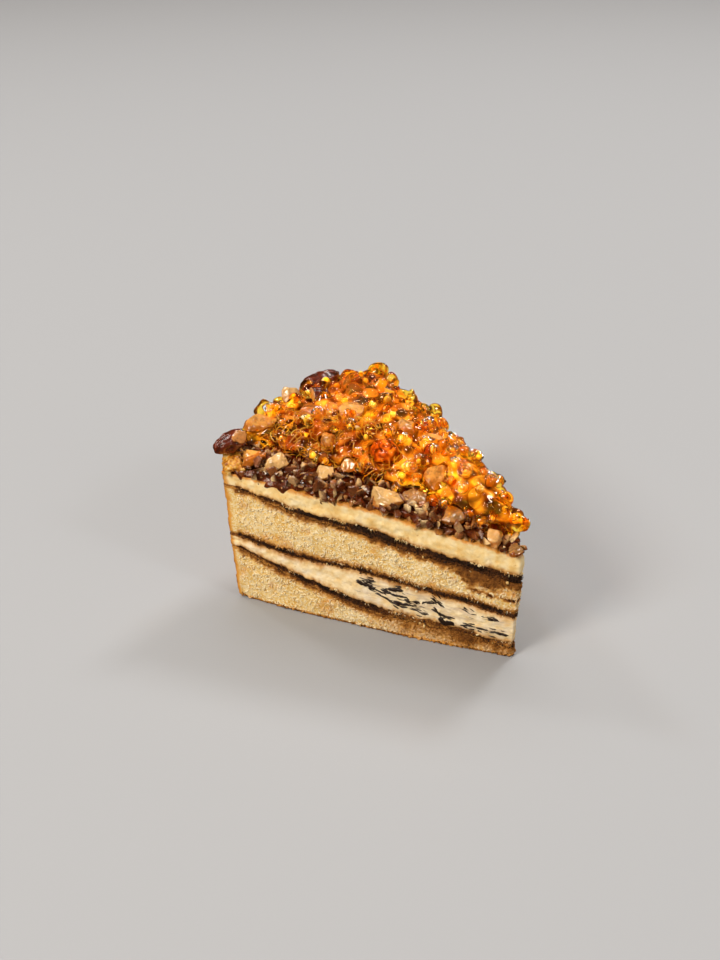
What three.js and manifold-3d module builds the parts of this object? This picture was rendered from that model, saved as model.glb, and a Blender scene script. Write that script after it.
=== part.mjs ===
// A slice of almond tiramisu cake: sponge layers with a coffee soak and cream between them, under a bed of
// chopped almonds in dark caramel, a crust of amber sugar lumps and larger almond pieces.
// Millimetres, +Z up, standing on Z = 0. +X runs along the slice's middle, from the rim to the tip.
import * as THREE from "three";
import { mergeVertices } from "three/addons/utils/BufferGeometryUtils.js";
import Module from "manifold-3d";

const { clamp, degToRad, lerp, smoothstep } = THREE.MathUtils;
const wasm = await Module();
wasm.setup();

// Slice: an eighth of a 220 mm round cake
const SLICE_RADIUS = 110;
const SLICE_ANGLE = degToRad(45);
const TIP_HALF_WIDTH = 1.2;
const CAKE_HEIGHT = 54.6; // at the rim, without the topping
const RIM_FLARE = 4.5; // how far the rim leans out at the cake's top
const TIP_FLARE = 2.6; // how far the tip leans out at the cake's top
const CUT_BULGE = 2.3; // how far a cut face swells at mid length
const PAN_CORNER = 2.6; // rounding between the rim and the bottom
const CRAG = 0.3; // unevenness of the side faces
const CRAG_LENGTH = 10;
const CRAG_UPRIGHT = 3; // how much shorter the crags are upwards

// Clearances
const GAP = 0.3; // between neighbouring pieces
const SLACK = 0.15; // added where two faceted faces lie along each other
const MERGE = 1e-3; // corners closer than this are one

// Layers from the bottom up, each with the height of its top at five stations, evenly spaced from rim to tip
const STATIONS = [0, 0.25, 0.5, 0.75, 1];
const LAYERS = [
  { name: "sponge_bottom", top: [22.1, 14.2, 7.6, 6.7, 3.9], sway: 0.35 },
  { name: "coffee_soak_lower", top: [24.1, 17.3, 11.1, 8.6, 5.6], sway: 0.35 },
  { name: "cream_middle", top: [27.3, 24.3, 24.0, 20.4, 16.4], sway: 0.45 },
  { name: "coffee_soak_middle", top: [28.9, 26.5, 26.1, 23.1, 19.1], sway: 0.45 },
  { name: "sponge_middle", top: [48.6, 43.2, 40.1, 35.8, 31.5], sway: 0.5 },
  { name: "coffee_soak_upper", top: [50.2, 45.3, 43.3, 38.9, 35.2], sway: 0.5 },
  { name: "cream_top", top: [CAKE_HEIGHT, 52.9, 51.3, 47.7, 43.0], sway: 0.4 },
];
const LAYER_COLUMNS = 12;
const LAYER_ROWS = 6;
const LAYER_TIERS = 2;
const BOTTOM_TIERS = 4; // the lowest layer has more, for its rounded corner
const SWAY_LENGTH = 62; // wave length of the layers' sway
const SWAY_SHIFT = 1.9; // phase from one pair of layers to the next

// Nut bed: chopped almonds in dark caramel, over the whole top
const BED_DEPTH = 5.5;
const BED_EDGE_DEPTH = 3.2;
const BED_INSET = 0.6; // from the cake's edge
const BED_SLOPE = 7; // distance over which the bed rises to its full depth
const CHIP_SIZE = [2.1, 3.4]; // half sizes of a chopped almond
const CHIP_STEP = 8; // spacing along an edge
const CHIP_ROWS = [1.4, 6.6, 11.6]; // distances from the near cut
const CHIP_LIFT = 2.2; // height of the first row's middles above the cream
const CHIP_ROW_RISE = 1.1; // from one row to the next
const EDGE_CHIP_INSET = 1.7; // from the far cut and the rim

// Amber crust: sugar lumps over the bed, behind a band of nuts along the near cut
const AMBER_DEPTH = 10.5;
const AMBER_EDGE_DEPTH = 8.2; // at the far cut, the rim and the tip
const AMBER_NEAR_DEPTH = 4.4; // at the crust's near edge
const AMBER_SLOPE = 5;
const AMBER_NEAR_SLOPE = 13; // and at most half the slice's width
const AMBER_INSET = 1.4; // from the far cut and the rim
const AMBER_TIP_INSET = 4;
const AMBER_NEAR_INSET = [15, 3.5]; // from the near cut, at the rim end and at the tip
const LUMP_SIZE = [2.2, 3.3]; // half sizes of a sugar lump
const LUMP_STEP = 7.9;
const LUMP_STAGGER = 0.25; // share of a step that every other row is shifted by
const LUMP_REACH = 0.55; // share of a lump that stands out of the crust
const JELLY = { name: "amber_jelly", size: [11.5, 11, 9], at: [-57.5, -6.5, 14] };

const MOUND_COLUMNS = 12;
const MOUND_ROWS = 5;
const MOUND_TIERS = 2;
const SHARD_SPREAD = [0.75, 1.25]; // the sides of a chip or lump against its half size
const SPOT_SPREAD = [0.3, 0.7]; // where a chip lies within its step

// Almonds: length, width and thickness; the middle's place along and across the slice, counted from the tip,
// and its height above the cream; turn about Z, pitch and roll in degrees. end is the share of the length cut
// off the blunt end, and flat the height, as a share of the thickness, where a flat face cuts the upper side.
const ALMONDS = {
  whole_corner: { size: [15.5, 9.5, 8], at: [-106.8, -38.2, 9.8], facing: [-95, 8, 15], skin: true },
  tan_corner: { size: [13, 9.5, 7], at: [-98.5, -36, 6], facing: [40, -6, 20], end: 0.3 },
  pale_corner: { size: [13, 8, 6], at: [-88, -32.2, 7.2], facing: [55, -8, 30], end: 0.15, flat: 0.2 },
  half_rim: { size: [15, 9, 7], at: [-107, -23.5, 13], facing: [50, -4, 20], flat: 0 },
  cube_rim: { size: [13, 8.5, 7], at: [-110.5, -2, 14.5], facing: [20, 65, 10], end: 0.1, flat: 0.3 },
  whole_back: { size: [20, 10.5, 9], at: [-113, 15.5, 14.6], facing: [82, -10, -20], skin: true },
  low_back: { size: [12, 8, 7], at: [-102.5, 4, 16], facing: [70, 10, 30], end: 0.25, skin: true },
  tan_rim: { size: [13, 9, 7], at: [-95, -7.5, 16], facing: [15, -12, 8], end: 0.15 },
  heart: { size: [15, 10.5, 7], at: [-83.5, 3, 17.2], facing: [-60, 22, -4], end: 0.12, flat: 0.1 },
  round: { size: [9, 7, 6], at: [-79, -14.5, 13.6], facing: [100, 10, 0], end: 0.2 },
  pale_front: { size: [14, 7.5, 5.5], at: [-71.5, -24.5, 6.8], facing: [60, -4, 28], end: 0.2, flat: 0.15 },
  tan_front: { size: [10, 7, 6], at: [-65.2, -17.6, 9.4], facing: [130, 18, -10], end: 0.15 },
  blanched_edge: { size: [15, 10.5, 8], at: [-46, -18.5, 6], facing: [30, 5, 40], end: 0.15, flat: 0.25 },
  slice_edge: { size: [13, 10.5, 6.5], at: [-40, -10.2, 6.8], facing: [-10, 20, 34], end: 0.2, flat: 0.05 },
  flat_top: { size: [13, 10.5, 6.5], at: [-35.8, -3.2, 13], facing: [75, -20, 35], end: 0.2, flat: 0.05 },
  sliver_far: { size: [13, 8, 7], at: [-51, 9, 17], facing: [25, -5, 20], end: 0.2, flat: 0.05 },
  red_far: { size: [10, 8, 6.5], at: [-61, 9.5, 17.4], facing: [-20, 12, -14], end: 0.15 },
  brown_near: { size: [12, 8.5, 6.5], at: [-24.5, -8, 5.6], facing: [20, 6, 34], end: 0.2, flat: 0.2 },
  pale_tip: { size: [10, 7, 6], at: [-7.5, -3.6, 4.8], facing: [-60, 35, -6], end: 0.1, flat: 0.1 },
  brown_tip: { size: [9, 6, 5.5], at: [0.4, -2.2, 3.5], facing: [-70, 8, 15], end: 0.2 },
};
const ALMOND_TAPER = 0.64; // how fast the width falls towards the pointed end
const ALMOND_SHOULDER = 0.2; // share of the length before the middle where the taper starts
const ALMOND_SIDES = 10;
const ALMOND_RINGS = 6;
const ROOM_SIDES = 8; // the hollow round an almond is a coarser and larger almond
const ROOM_RINGS = 4;
const ROOM_GROWTH = 0.95;

const material = (color, roughness, opacity = 1) =>
  new THREE.MeshStandardMaterial({ color, roughness, metalness: 0, opacity, transparent: opacity < 1 });
const SPONGE = material("#e6c988", 0.95);
const COFFEE = material("#4a2d17", 0.8);
const CREAM = material("#ecd7a6", 0.6);
const CARAMEL_NUTS = material("#6b3f20", 0.35);
const AMBER_SUGAR = material("#e2920f", 0.08, 0.85);
const ALMOND_SKIN = material("#5b2416", 0.4);
const ALMOND_FLESH = material("#d9ac72", 0.35);

// The same draws from 0 to 1 on every run
function seeded(seed) {
  let state = seed;
  return () => {
    state = (state + 0x6d2b79f5) | 0;
    let t = Math.imul(state ^ (state >>> 15), 1 | state);
    t = (t + Math.imul(t ^ (t >>> 7), 61 | t)) ^ t;
    return ((t ^ (t >>> 14)) >>> 0) / 2 ** 32;
  };
}
const between = (draw, [low, high]) => lerp(low, high, draw());

function waves(x, y, length, shift) {
  const turn = (2 * Math.PI) / length;
  return Math.sin(x * turn + shift) * Math.cos(y * turn * 1.25 + 2 * shift);
}

// Plan of the slice. u runs from the rim, 0, to the tip, 1, and v from the near cut, -1, to the far cut, 1.
function plan(u, v, z) {
  const rise = z / CAKE_HEIGHT;
  const corner = Math.max(0, PAN_CORNER - z);
  const inset = PAN_CORNER - Math.sqrt(PAN_CORNER ** 2 - corner ** 2);
  const radius = SLICE_RADIUS + RIM_FLARE * rise - inset;
  const angle = (v * SLICE_ANGLE) / 2;
  const rim = new THREE.Vector2(-radius * Math.cos(angle), radius * Math.sin(angle));
  const tip = new THREE.Vector2(TIP_FLARE * rise, v * TIP_HALF_WIDTH);
  const point = rim.lerp(tip, u);
  const crag = (along) => CRAG * waves(along, z * CRAG_UPRIGHT, CRAG_LENGTH, 1);
  point.y += v * (CUT_BULGE * Math.sin(Math.PI * u) + crag(point.x));
  point.x += (1 - u) * crag(point.y);
  return point;
}
function onPlan(u, v, z) {
  const { x, y } = plan(u, v, z);
  return new THREE.Vector3(x, y, z);
}

// Height of a layer's top at u and v
const tops = LAYERS.map(({ top }) => new THREE.CubicInterpolant(STATIONS, top, 1));
function topOf(layer, u, v) {
  if (layer < 0) return 0;
  const across = v * (1 - u) * SLICE_RADIUS * Math.sin(SLICE_ANGLE / 2);
  const shift = SWAY_SHIFT * Math.ceil(layer / 2);
  const sway = LAYERS[layer].sway * waves(u * SLICE_RADIUS, across, SWAY_LENGTH, shift);
  return tops[layer].evaluate(u)[0] + sway;
}
const creamTop = (u, v) => topOf(LAYERS.length - 1, u, v);

// Distances in millimetres turned into shares of the plan, and back
const alongToU = (distance) => distance / SLICE_RADIUS;
const halfWidth = (u) => lerp(SLICE_RADIUS * Math.sin(SLICE_ANGLE / 2), TIP_HALF_WIDTH, u);
const acrossToV = (distance, u) => Math.min(2, distance / halfWidth(u));
function edgeDistance(u, v) {
  return Math.min(u * SLICE_RADIUS, (1 - u) * SLICE_RADIUS, (1 - Math.abs(v)) * halfWidth(u));
}
function aboveCream([along, across, lift]) {
  const u = 1 + along / SLICE_RADIUS;
  return new THREE.Vector3(along, across, creamTop(u, across / halfWidth(u)) + lift);
}

// A geometry with positions alone and shared corners
function bare(geometry) {
  geometry.deleteAttribute("normal");
  geometry.deleteAttribute("uv");
  return mergeVertices(geometry, MERGE);
}

// A closed block of facets, where place(a, b, c) puts each corner and all three run from 0 to 1
function block(columns, rows, tiers, place) {
  const geometry = bare(new THREE.BoxGeometry(1, 1, 1, columns, rows, tiers));
  const corners = geometry.getAttribute("position");
  for (let i = 0; i < corners.count; i++) {
    const spot = place(corners.getX(i) + 0.5, corners.getY(i) + 0.5, corners.getZ(i) + 0.5);
    corners.setXYZ(i, spot.x, spot.y, spot.z);
  }
  return geometry;
}

function solidOf(geometry) {
  const merged = bare(geometry.clone());
  const vertProperties = new Float32Array(merged.getAttribute("position").array);
  const triVerts = new Uint32Array(merged.index.array);
  return new wasm.Manifold(new wasm.Mesh({ numProp: 3, vertProperties, triVerts }));
}

function geometryOf(solid) {
  const { vertProperties, triVerts } = solid.getMesh();
  return new THREE.BufferGeometry()
    .setAttribute("position", new THREE.BufferAttribute(new Float32Array(vertProperties), 3))
    .setIndex(new THREE.BufferAttribute(new Uint32Array(triVerts), 1));
}

const joined = (solids) => solids.reduce((all, one) => all.add(one));
const larger = (one, other) => (one.volume() > other.volume() ? one : other);
const largest = (solid) => solid.decompose().reduce(larger);
// Without loose scraps and sealed hollows, also those that only show once near corners are merged
const whole = (solid) => largest(solidOf(geometryOf(largest(solid))));

function named(name, geometry, finish) {
  geometry.computeVertexNormals();
  const mesh = new THREE.Mesh(geometry, finish);
  mesh.name = name;
  return mesh;
}

// The cake's layers. Tiers crowd towards the bottom of the lowest one, where the pan's corner is.
function layerMesh({ name }, layer) {
  const lowest = layer === 0;
  const tiers = lowest ? BOTTOM_TIERS : LAYER_TIERS;
  const finish = name.startsWith("sponge") ? SPONGE : name.startsWith("cream") ? CREAM : COFFEE;
  const geometry = block(LAYER_COLUMNS, LAYER_ROWS, tiers, (u, across, height) => {
    const v = 2 * across - 1;
    const low = topOf(layer - 1, u, v) + (lowest ? 0 : GAP);
    return onPlan(u, v, lerp(low, topOf(layer, u, v), lowest ? height ** 2 : height));
  });
  return named(name, geometry, finish);
}

// A mound over part of the top. near gives its distance from the near cut at the rim end and at the tip, and
// rise its depth from the distances to its near edge and to its closest other edge, and the slice's width.
function mound({ rim, tip, near, far, floor, rise }, grow = 0) {
  return block(MOUND_COLUMNS, MOUND_ROWS, MOUND_TIERS, (along, across, height) => {
    const u = lerp(alongToU(rim - grow), 1 - alongToU(tip - grow), along);
    const nearSide = -1 + acrossToV(lerp(near[0], near[1], u) - grow, u);
    const farSide = 1 - acrossToV(far - grow, u);
    const v = lerp(nearSide, farSide, across);
    const width = 2 * halfWidth(u);
    const ends = Math.min(along, 1 - along) * SLICE_RADIUS;
    const depth = rise(across * width, Math.min(ends, (1 - across) * width), width) + 2 * grow;
    const low = floor(u, v) - grow;
    return onPlan(u, v, lerp(low, low + depth, height));
  });
}

function slope(distance, edgeDepth, depth, length) {
  return lerp(edgeDepth, depth, smoothstep(distance, 0, length));
}

const BED = {
  rim: BED_INSET,
  tip: BED_INSET,
  near: [BED_INSET, BED_INSET],
  far: BED_INSET,
  floor: (u, v) => creamTop(u, v) + GAP + SLACK,
  rise: (near, other) => slope(Math.min(near, other), BED_EDGE_DEPTH, BED_DEPTH, BED_SLOPE),
};

const AMBER = {
  rim: AMBER_INSET,
  tip: AMBER_TIP_INSET,
  near: AMBER_NEAR_INSET,
  far: AMBER_INSET,
  floor: (u, v) => {
    const inward = edgeDistance(u, v) - BED_INSET;
    return BED.floor(u, v) + BED.rise(inward, inward) + GAP + SLACK;
  },
  rise: (near, other, width) => {
    const nearDepth = slope(near, AMBER_NEAR_DEPTH, AMBER_DEPTH, Math.min(AMBER_NEAR_SLOPE, width / 2));
    return Math.min(nearDepth, slope(other, AMBER_EDGE_DEPTH, AMBER_DEPTH, AMBER_SLOPE));
  },
};
const amberNear = (u) => lerp(AMBER.near[0], AMBER.near[1], u);

// A broken piece with few sides, turned at random
const CHIP_FORM = new THREE.BoxGeometry(1.5, 1.5, 1.5);
const LUMP_FORM = new THREE.IcosahedronGeometry(1, 0);
function shard(form, draw, halfSize, spot, grow = 0) {
  const side = () => halfSize * between(draw, SHARD_SPREAD) + grow;
  const angle = () => 2 * Math.PI * draw();
  const scale = new THREE.Vector3(side(), side(), side());
  const turn = new THREE.Quaternion().setFromEuler(new THREE.Euler(angle(), angle(), angle()));
  const place = new THREE.Matrix4().compose(spot, turn, scale);
  return solidOf(bare(form.clone()).applyMatrix4(place));
}

// Chopped almonds in rows along the near cut, as far as the crust, and in one row along the other edges
function chips() {
  const draw = seeded(11);
  const made = [];
  const chip = (u, v, lift) => {
    const spot = onPlan(u, v, creamTop(u, v) + lift);
    made.push(shard(CHIP_FORM, draw, between(draw, CHIP_SIZE), spot));
  };
  const columns = Math.floor(SLICE_RADIUS / CHIP_STEP);
  for (let i = 0; i < columns; i++) {
    const u = (i + between(draw, SPOT_SPREAD)) / columns;
    const rows = CHIP_ROWS.filter((inset) => inset < amberNear(u) - CHIP_SIZE[0]);
    rows.forEach((inset, row) => chip(u, -1 + acrossToV(inset + draw(), u), CHIP_LIFT + CHIP_ROW_RISE * row));
    chip(u, 1 - acrossToV(EDGE_CHIP_INSET + draw(), u), CHIP_LIFT);
  }
  const rimSteps = Math.floor((SLICE_RADIUS * SLICE_ANGLE) / CHIP_STEP);
  for (let i = 0; i < rimSteps; i++) {
    const v = -1 + (2 * (i + between(draw, SPOT_SPREAD))) / rimSteps;
    chip(alongToU(EDGE_CHIP_INSET + draw()), v, CHIP_LIFT);
  }
  return made;
}

// Sugar lumps in staggered rows over the amber crust
function lumps(grow) {
  const draw = seeded(29);
  const made = [];
  const length = SLICE_RADIUS - AMBER.rim - AMBER.tip;
  const columns = Math.floor(length / LUMP_STEP);
  for (let i = 0; i <= columns; i++) {
    const u = alongToU(AMBER.rim + (i * length) / columns);
    const ends = Math.min(i, columns - i) * LUMP_STEP;
    const width = Math.max(0, 2 * halfWidth(u) - amberNear(u) - AMBER.far);
    const rows = Math.max(1, Math.floor(width / LUMP_STEP));
    for (let j = 0; j <= rows; j++) {
      const stagger = i % 2 ? LUMP_STAGGER : -LUMP_STAGGER;
      const share = clamp((j + stagger + between(draw, [-0.2, 0.2])) / rows, 0, 1);
      const v = -1 + acrossToV(amberNear(u) + share * width, u);
      const size = between(draw, LUMP_SIZE);
      const depth = AMBER.rise(share * width, Math.min(ends, (1 - share) * width), width);
      const spot = onPlan(u, v, AMBER.floor(u, v) + depth - size * (1 - LUMP_REACH));
      made.push(shard(LUMP_FORM, draw, size, spot, grow));
    }
  }
  return made;
}

// An almond along X, pointed at +X, cut and put in its place
function almond({ size, at, facing, end, flat }, sides, rings, grow = 0) {
  const [length, width, thickness] = size.map((side) => side + 2 * grow);
  const geometry = bare(new THREE.SphereGeometry(0.5, sides, rings).rotateZ(-Math.PI / 2));
  const corners = geometry.getAttribute("position");
  for (let i = 0; i < corners.count; i++) {
    const x = corners.getX(i);
    const taper = 1 - ALMOND_TAPER * Math.max(0, x + ALMOND_SHOULDER) ** 1.5;
    corners.setXYZ(i, x * length, corners.getY(i) * width * taper, corners.getZ(i) * thickness * taper);
  }
  let solid = solidOf(geometry);
  const cutAway = (x, z) => {
    const knife = new THREE.BoxGeometry(2 * length, 2 * length, 2 * length).translate(x, 0, z);
    solid = solid.subtract(solidOf(knife));
  };
  if (end !== undefined) cutAway(-length * (1.5 - end) - grow, 0);
  if (flat !== undefined) cutAway(0, length + thickness * flat + grow);
  const [turn, pitch, roll] = facing.map(degToRad);
  const quaternion = new THREE.Quaternion().setFromEuler(new THREE.Euler(roll, pitch, turn, "ZYX"));
  const place = new THREE.Matrix4().compose(aboveCream(at), quaternion, new THREE.Vector3(1, 1, 1));
  return solid.transform(place.elements);
}

// A large round lump of jelly in the amber crust
function jelly({ size, at }, grow = 0) {
  const geometry = new THREE.IcosahedronGeometry(0.5, 1);
  const scale = new THREE.Vector3(...size).addScalar(2 * grow);
  return solidOf(geometry.scale(...scale).translate(...aboveCream(at)));
}

// Everything up to the cream's top, grown by the gap, for cutting the topping to fit
function cakeEnvelope() {
  const spread = 1 + GAP / SLICE_RADIUS;
  const geometry = block(LAYER_COLUMNS, LAYER_ROWS, LAYER_TIERS, (u, across, height) => {
    const v = 2 * across - 1;
    const { x, y, z } = onPlan(u, v, lerp(CAKE_HEIGHT / 2, creamTop(u, v) + GAP, height));
    return new THREE.Vector3(x * spread + GAP * (2 * u - 1), y * spread + GAP * v, z);
  });
  return solidOf(geometry);
}

const almondRooms = Object.values(ALMONDS).map((one) => almond(one, ROOM_SIDES, ROOM_RINGS, ROOM_GROWTH));
const taken = joined([cakeEnvelope(), ...almondRooms, jelly(JELLY, ROOM_GROWTH)]);
const amber = (grow) => joined([solidOf(mound(AMBER, grow)), ...lumps(grow)]);
const bed = joined([solidOf(mound(BED)), ...chips()]);

const slice = new THREE.Group();
slice.add(...LAYERS.map(layerMesh));
slice.add(named("nut_bed", geometryOf(whole(bed.subtract(taken).subtract(amber(GAP)))), CARAMEL_NUTS));
slice.add(named("amber_crust", geometryOf(whole(amber(0).subtract(taken))), AMBER_SUGAR));
slice.add(named(JELLY.name, geometryOf(jelly(JELLY)), AMBER_SUGAR));
for (const [name, one] of Object.entries(ALMONDS)) {
  const geometry = geometryOf(almond(one, ALMOND_SIDES, ALMOND_RINGS));
  slice.add(named(`almond_${name}`, geometry, one.skin ? ALMOND_SKIN : ALMOND_FLESH));
}

// The origin goes to the middle of the slice's footprint
const box = new THREE.Box3().setFromObject(slice);
const middle = box.getCenter(new THREE.Vector3());
slice.position.set(-middle.x, -middle.y, -box.min.z);

export default slice;
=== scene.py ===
# A slice of almond tiramisu cake: torn sponge and cream with coffee lines, chopped nuts in dark caramel,
# amber sugar beads and glazed almond pieces. Metres, in the frame of the solids.
import math

import bmesh
import bpy
import numpy as np
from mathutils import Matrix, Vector, noise
from mathutils.bvhtree import BVHTree


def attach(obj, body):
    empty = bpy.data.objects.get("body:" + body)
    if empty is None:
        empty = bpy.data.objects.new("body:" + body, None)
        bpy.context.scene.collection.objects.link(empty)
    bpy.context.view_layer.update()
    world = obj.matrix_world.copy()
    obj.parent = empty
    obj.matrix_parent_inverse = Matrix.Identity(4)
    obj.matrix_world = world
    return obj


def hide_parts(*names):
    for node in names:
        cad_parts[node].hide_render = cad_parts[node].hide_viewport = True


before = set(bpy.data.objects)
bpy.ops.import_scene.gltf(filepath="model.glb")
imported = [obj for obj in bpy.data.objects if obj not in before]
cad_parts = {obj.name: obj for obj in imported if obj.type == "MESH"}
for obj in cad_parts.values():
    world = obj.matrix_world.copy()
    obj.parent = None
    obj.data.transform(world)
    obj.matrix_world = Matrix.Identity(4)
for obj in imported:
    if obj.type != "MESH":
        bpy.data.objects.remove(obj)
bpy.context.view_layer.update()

MM = 0.001
UP = Vector((0, 0, 1))

# Cake
LAYERS = (
    "sponge_bottom",
    "coffee_soak_lower",
    "cream_middle",
    "coffee_soak_middle",
    "sponge_middle",
    "coffee_soak_upper",
    "cream_top",
)
SLICE_ANGLE = math.radians(45)
AXIS = Vector((0.0574, 0.001, 0))  # where the two cuts meet on the floor
RADIUS = 110 * MM
CAKE_HEIGHT = 54.6 * MM
RIM_FLARE = 4.5 * MM  # how far the rim leans out at the cake's top
COFFEE_INSET = 0.35 * MM  # how far the coffee lines lie behind the cream and sponge

# Net of the cake's walls
WALL_STEP = 0.52 * MM
FEWEST_ROWS = 4
CORNER_INSET = 1.6 * MM
TIP_INSET = 2.2 * MM
FAN_STEP = math.radians(7)  # between the columns that turn a corner
RAY_START = 0.03  # how far out from the columns the rays start
RAY_LIMIT = 0.034  # a ray that goes further has missed the wall
RAY_FLOOR = 0.06 * MM  # rays keep this far above the floor
PLUMB = UP * 0.2  # from how far above and below the layers' heights are felt
RIM_PROBES = (-0.4 * MM, 0, 0.4 * MM)  # rises at which the rim is felt
RIM_RELIEF, TIP_RELIEF = 0.7, 0.6  # shares of the relief that the cuts have
EDGE_ROUNDING = 0.3  # of sponge and cream on the cuts, in millimetres

# How far stains reach, in millimetres
SOAK_REACH = 4.5
CRUST_REACH = 2.4
TOPPING_REACH = 3.0
FLOOR_REACH = 1.5  # of the brown edge on the floor

# How strong coffee stains are
RISEN_SOAK = 0.85  # in sponge above a line, as a share of that below one
CREAM_SOAK = 0.82  # in cream, as a share of that in sponge
RIM_FADE = 0.45  # how much of them the rim's crust hides

# Camera, placed as the photograph was taken
CAMERA_AT = Vector((0.28328, -0.31828, 0.2817))
CAMERA_TURN = math.radians(43.406)
CAMERA_PITCH = math.radians(28.36)
CAMERA_LENS = 48.75
CAMERA_SENSOR = 36

# In coffee lines, red also carries painted shadow under the cream; on torn sponge bits, green also carries
# painted shade.
STAIN = "stain"  # red: nearness to coffee, green: nearness to baked crust, blue: smear, marbling or syrup
TONE = "tone"  # a bead's or a chip's own colour
NO_TONE = (0, 0, 0)  # for lumps that are melted into one mass and tinted later


# Small helpers
def smooth(value, low, high):
    share = np.clip((value - low) / (high - low), 0, 1)
    return share * share * (3 - 2 * share)


def linear(hex_colour):
    """A colour as Blender's shaders count it."""
    shares = [int(hex_colour[i : i + 2], 16) / 255 for i in (1, 3, 5)]
    return [c / 12.92 if c <= 0.04045 else ((c + 0.055) / 1.055) ** 2.4 for c in shares] + [1.0]


def wobble(points, size, seed):
    """Smooth unevenness from -1 to 1 at points in metres, with humps of that size in millimetres."""
    shift = Vector((seed * 17.3, seed * 9.1, seed * 5.7))
    scale = 1 / (size * MM)
    return np.array([noise.noise(Vector(p) * scale + shift) for p in points])


def humps(points, *kinds):
    """Unevenness made up of humps of some kinds, each with a height, a size in millimetres and a seed."""
    return sum(height * wobble(points, size, seed) for height, size, seed in kinds)


def pores(points, size, seed):
    """Distance to the nearest of scattered spots, from 0 up, in shares of their spacing in millimetres."""
    shift = Vector((seed * 3.3, seed * 7.9, seed * 4.1))
    scale = 1 / (size * MM)
    return np.array([noise.voronoi(Vector(p) * scale + shift)[0][0] for p in points])


def unit(vector):
    return vector / np.linalg.norm(vector)


def solid(name):
    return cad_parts[name].data


def tree_of(*names):
    """Where rays meet the surfaces of the named solids."""
    points, faces = [], []
    for name in names:
        faces += [[i + len(points) for i in p.vertices] for p in solid(name).polygons]
        points += [v.co for v in solid(name).vertices]
    return BVHTree.FromPolygons(points, faces)


def paint(mesh, colours, layer):
    """Gives every point of the mesh its colour."""
    stored = mesh.color_attributes.new(layer, "FLOAT_COLOR", "POINT")
    rgba = np.ones((len(colours), 4), np.float32)
    rgba[:, :3] = np.asarray(colours)[:, :3]
    stored.data.foreach_set("color", rgba.ravel())


def mesh_of(name, points, faces, colours, layer, flat_faces=()):
    """A mesh with smooth faces, apart from those named, and a colour for every point."""
    mesh = bpy.data.meshes.new(name)
    mesh.from_pydata(np.asarray(points).tolist(), [], [list(map(int, f)) for f in faces])
    mesh.polygons.foreach_set("use_smooth", [i not in flat_faces for i in range(len(mesh.polygons))])
    paint(mesh, colours, layer)
    mesh.update()
    return mesh


def piece(name, mesh, material, slot, *nodes):
    """Puts a mesh into the scene as a piece that stands for the named solids."""
    made = bpy.data.objects.new(name, mesh)
    bpy.context.scene.collection.objects.link(made)
    mesh.materials.clear()
    mesh.materials.append(material)
    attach(made, "root")
    if nodes:
        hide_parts(*nodes)
    return made


def remeshed(mesh, voxel):
    """The mesh as an even net of small faces, of a size in millimetres."""
    holder = bpy.data.objects.new("holder", mesh)
    bpy.context.scene.collection.objects.link(holder)
    net = holder.modifiers.new("net", "REMESH")
    net.mode = "VOXEL"
    net.voxel_size = voxel * MM
    evaluated = holder.evaluated_get(bpy.context.evaluated_depsgraph_get())
    made = bpy.data.meshes.new_from_object(evaluated)
    bpy.data.objects.remove(holder)
    return made


def vectors(vertices, name):
    values = np.zeros(len(vertices) * 3, np.float32)
    vertices.foreach_get(name, values)
    return values.reshape(-1, 3).astype(float)


def coordinates(mesh):
    return vectors(mesh.vertices, "co")


def directions(mesh):
    return vectors(mesh.vertices, "normal")


def put(mesh, points):
    mesh.vertices.foreach_set("co", np.asarray(points, np.float32).ravel())
    mesh.update()


def evened(mesh, rounds, fixed=None):
    """The mesh's points, each moved some times towards the middle of its neighbours. Fixed ones stay."""
    points = coordinates(mesh)
    edges = np.zeros(len(mesh.edges) * 2, np.int32)
    mesh.edges.foreach_get("vertices", edges)
    one, other = edges.reshape(-1, 2).T
    ends, starts = np.concatenate([one, other]), np.concatenate([other, one])
    count = np.bincount(ends, minlength=len(points))[:, None]
    free = 0.5 if fixed is None else 0.5 * ~fixed[:, None]
    for _ in range(rounds):
        sides = [np.bincount(ends, points[starts, k], len(points)) for k in range(3)]
        points = points + (np.stack(sides, 1) / count - points) * free
    return points


def softened(mesh, voxel, rounds):
    """The mesh as an even net that has been evened out, with its points and the way each faces."""
    net = remeshed(mesh, voxel)
    put(net, evened(net, rounds))
    return net, coordinates(net), directions(net)


def raised(points, ways, relief):
    """Points moved out by so many millimetres each."""
    return points + ways * relief[:, None] * MM


def smoothed(mesh):
    mesh.polygons.foreach_set("use_smooth", [True] * len(mesh.polygons))
    return mesh


def tinted(mesh, values, stops):
    """Makes the mesh smooth and gives it colours for values, between stops of a value and a colour each."""
    places = [place for place, _ in stops]
    shades = np.array([linear(colour)[:3] for _, colour in stops])
    paint(mesh, np.stack([np.interp(values, places, shades[:, k]) for k in range(3)], 1), TONE)
    return smoothed(mesh)


# Shader helpers
def node(tree, kind, settings=None, **inputs):
    made = tree.nodes.new("ShaderNode" + kind)
    for name, value in (settings or {}).items():
        setattr(made, name, value)
    for name, value in inputs.items():
        connect(tree, value, made.inputs[name.replace("_", " ")])
    return made


def connect(tree, value, socket):
    if isinstance(value, bpy.types.NodeSocket):
        tree.links.new(value, socket)
    else:
        socket.default_value = value


def mixed(tree, factor, one, other, blend="MIX"):
    made = tree.nodes.new("ShaderNodeMix")
    made.data_type = "RGBA"
    made.blend_type = blend
    connect(tree, factor, made.inputs[0])
    connect(tree, linear(one) if isinstance(one, str) else one, made.inputs[6])
    connect(tree, linear(other) if isinstance(other, str) else other, made.inputs[7])
    return made.outputs[2]


def sums(tree, operation, one, other=0.0, third=0.0):
    made = tree.nodes.new("ShaderNodeMath")
    made.operation = operation
    for value, socket in zip((one, other, third), made.inputs):
        connect(tree, value, socket)
    return made.outputs[0]


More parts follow.
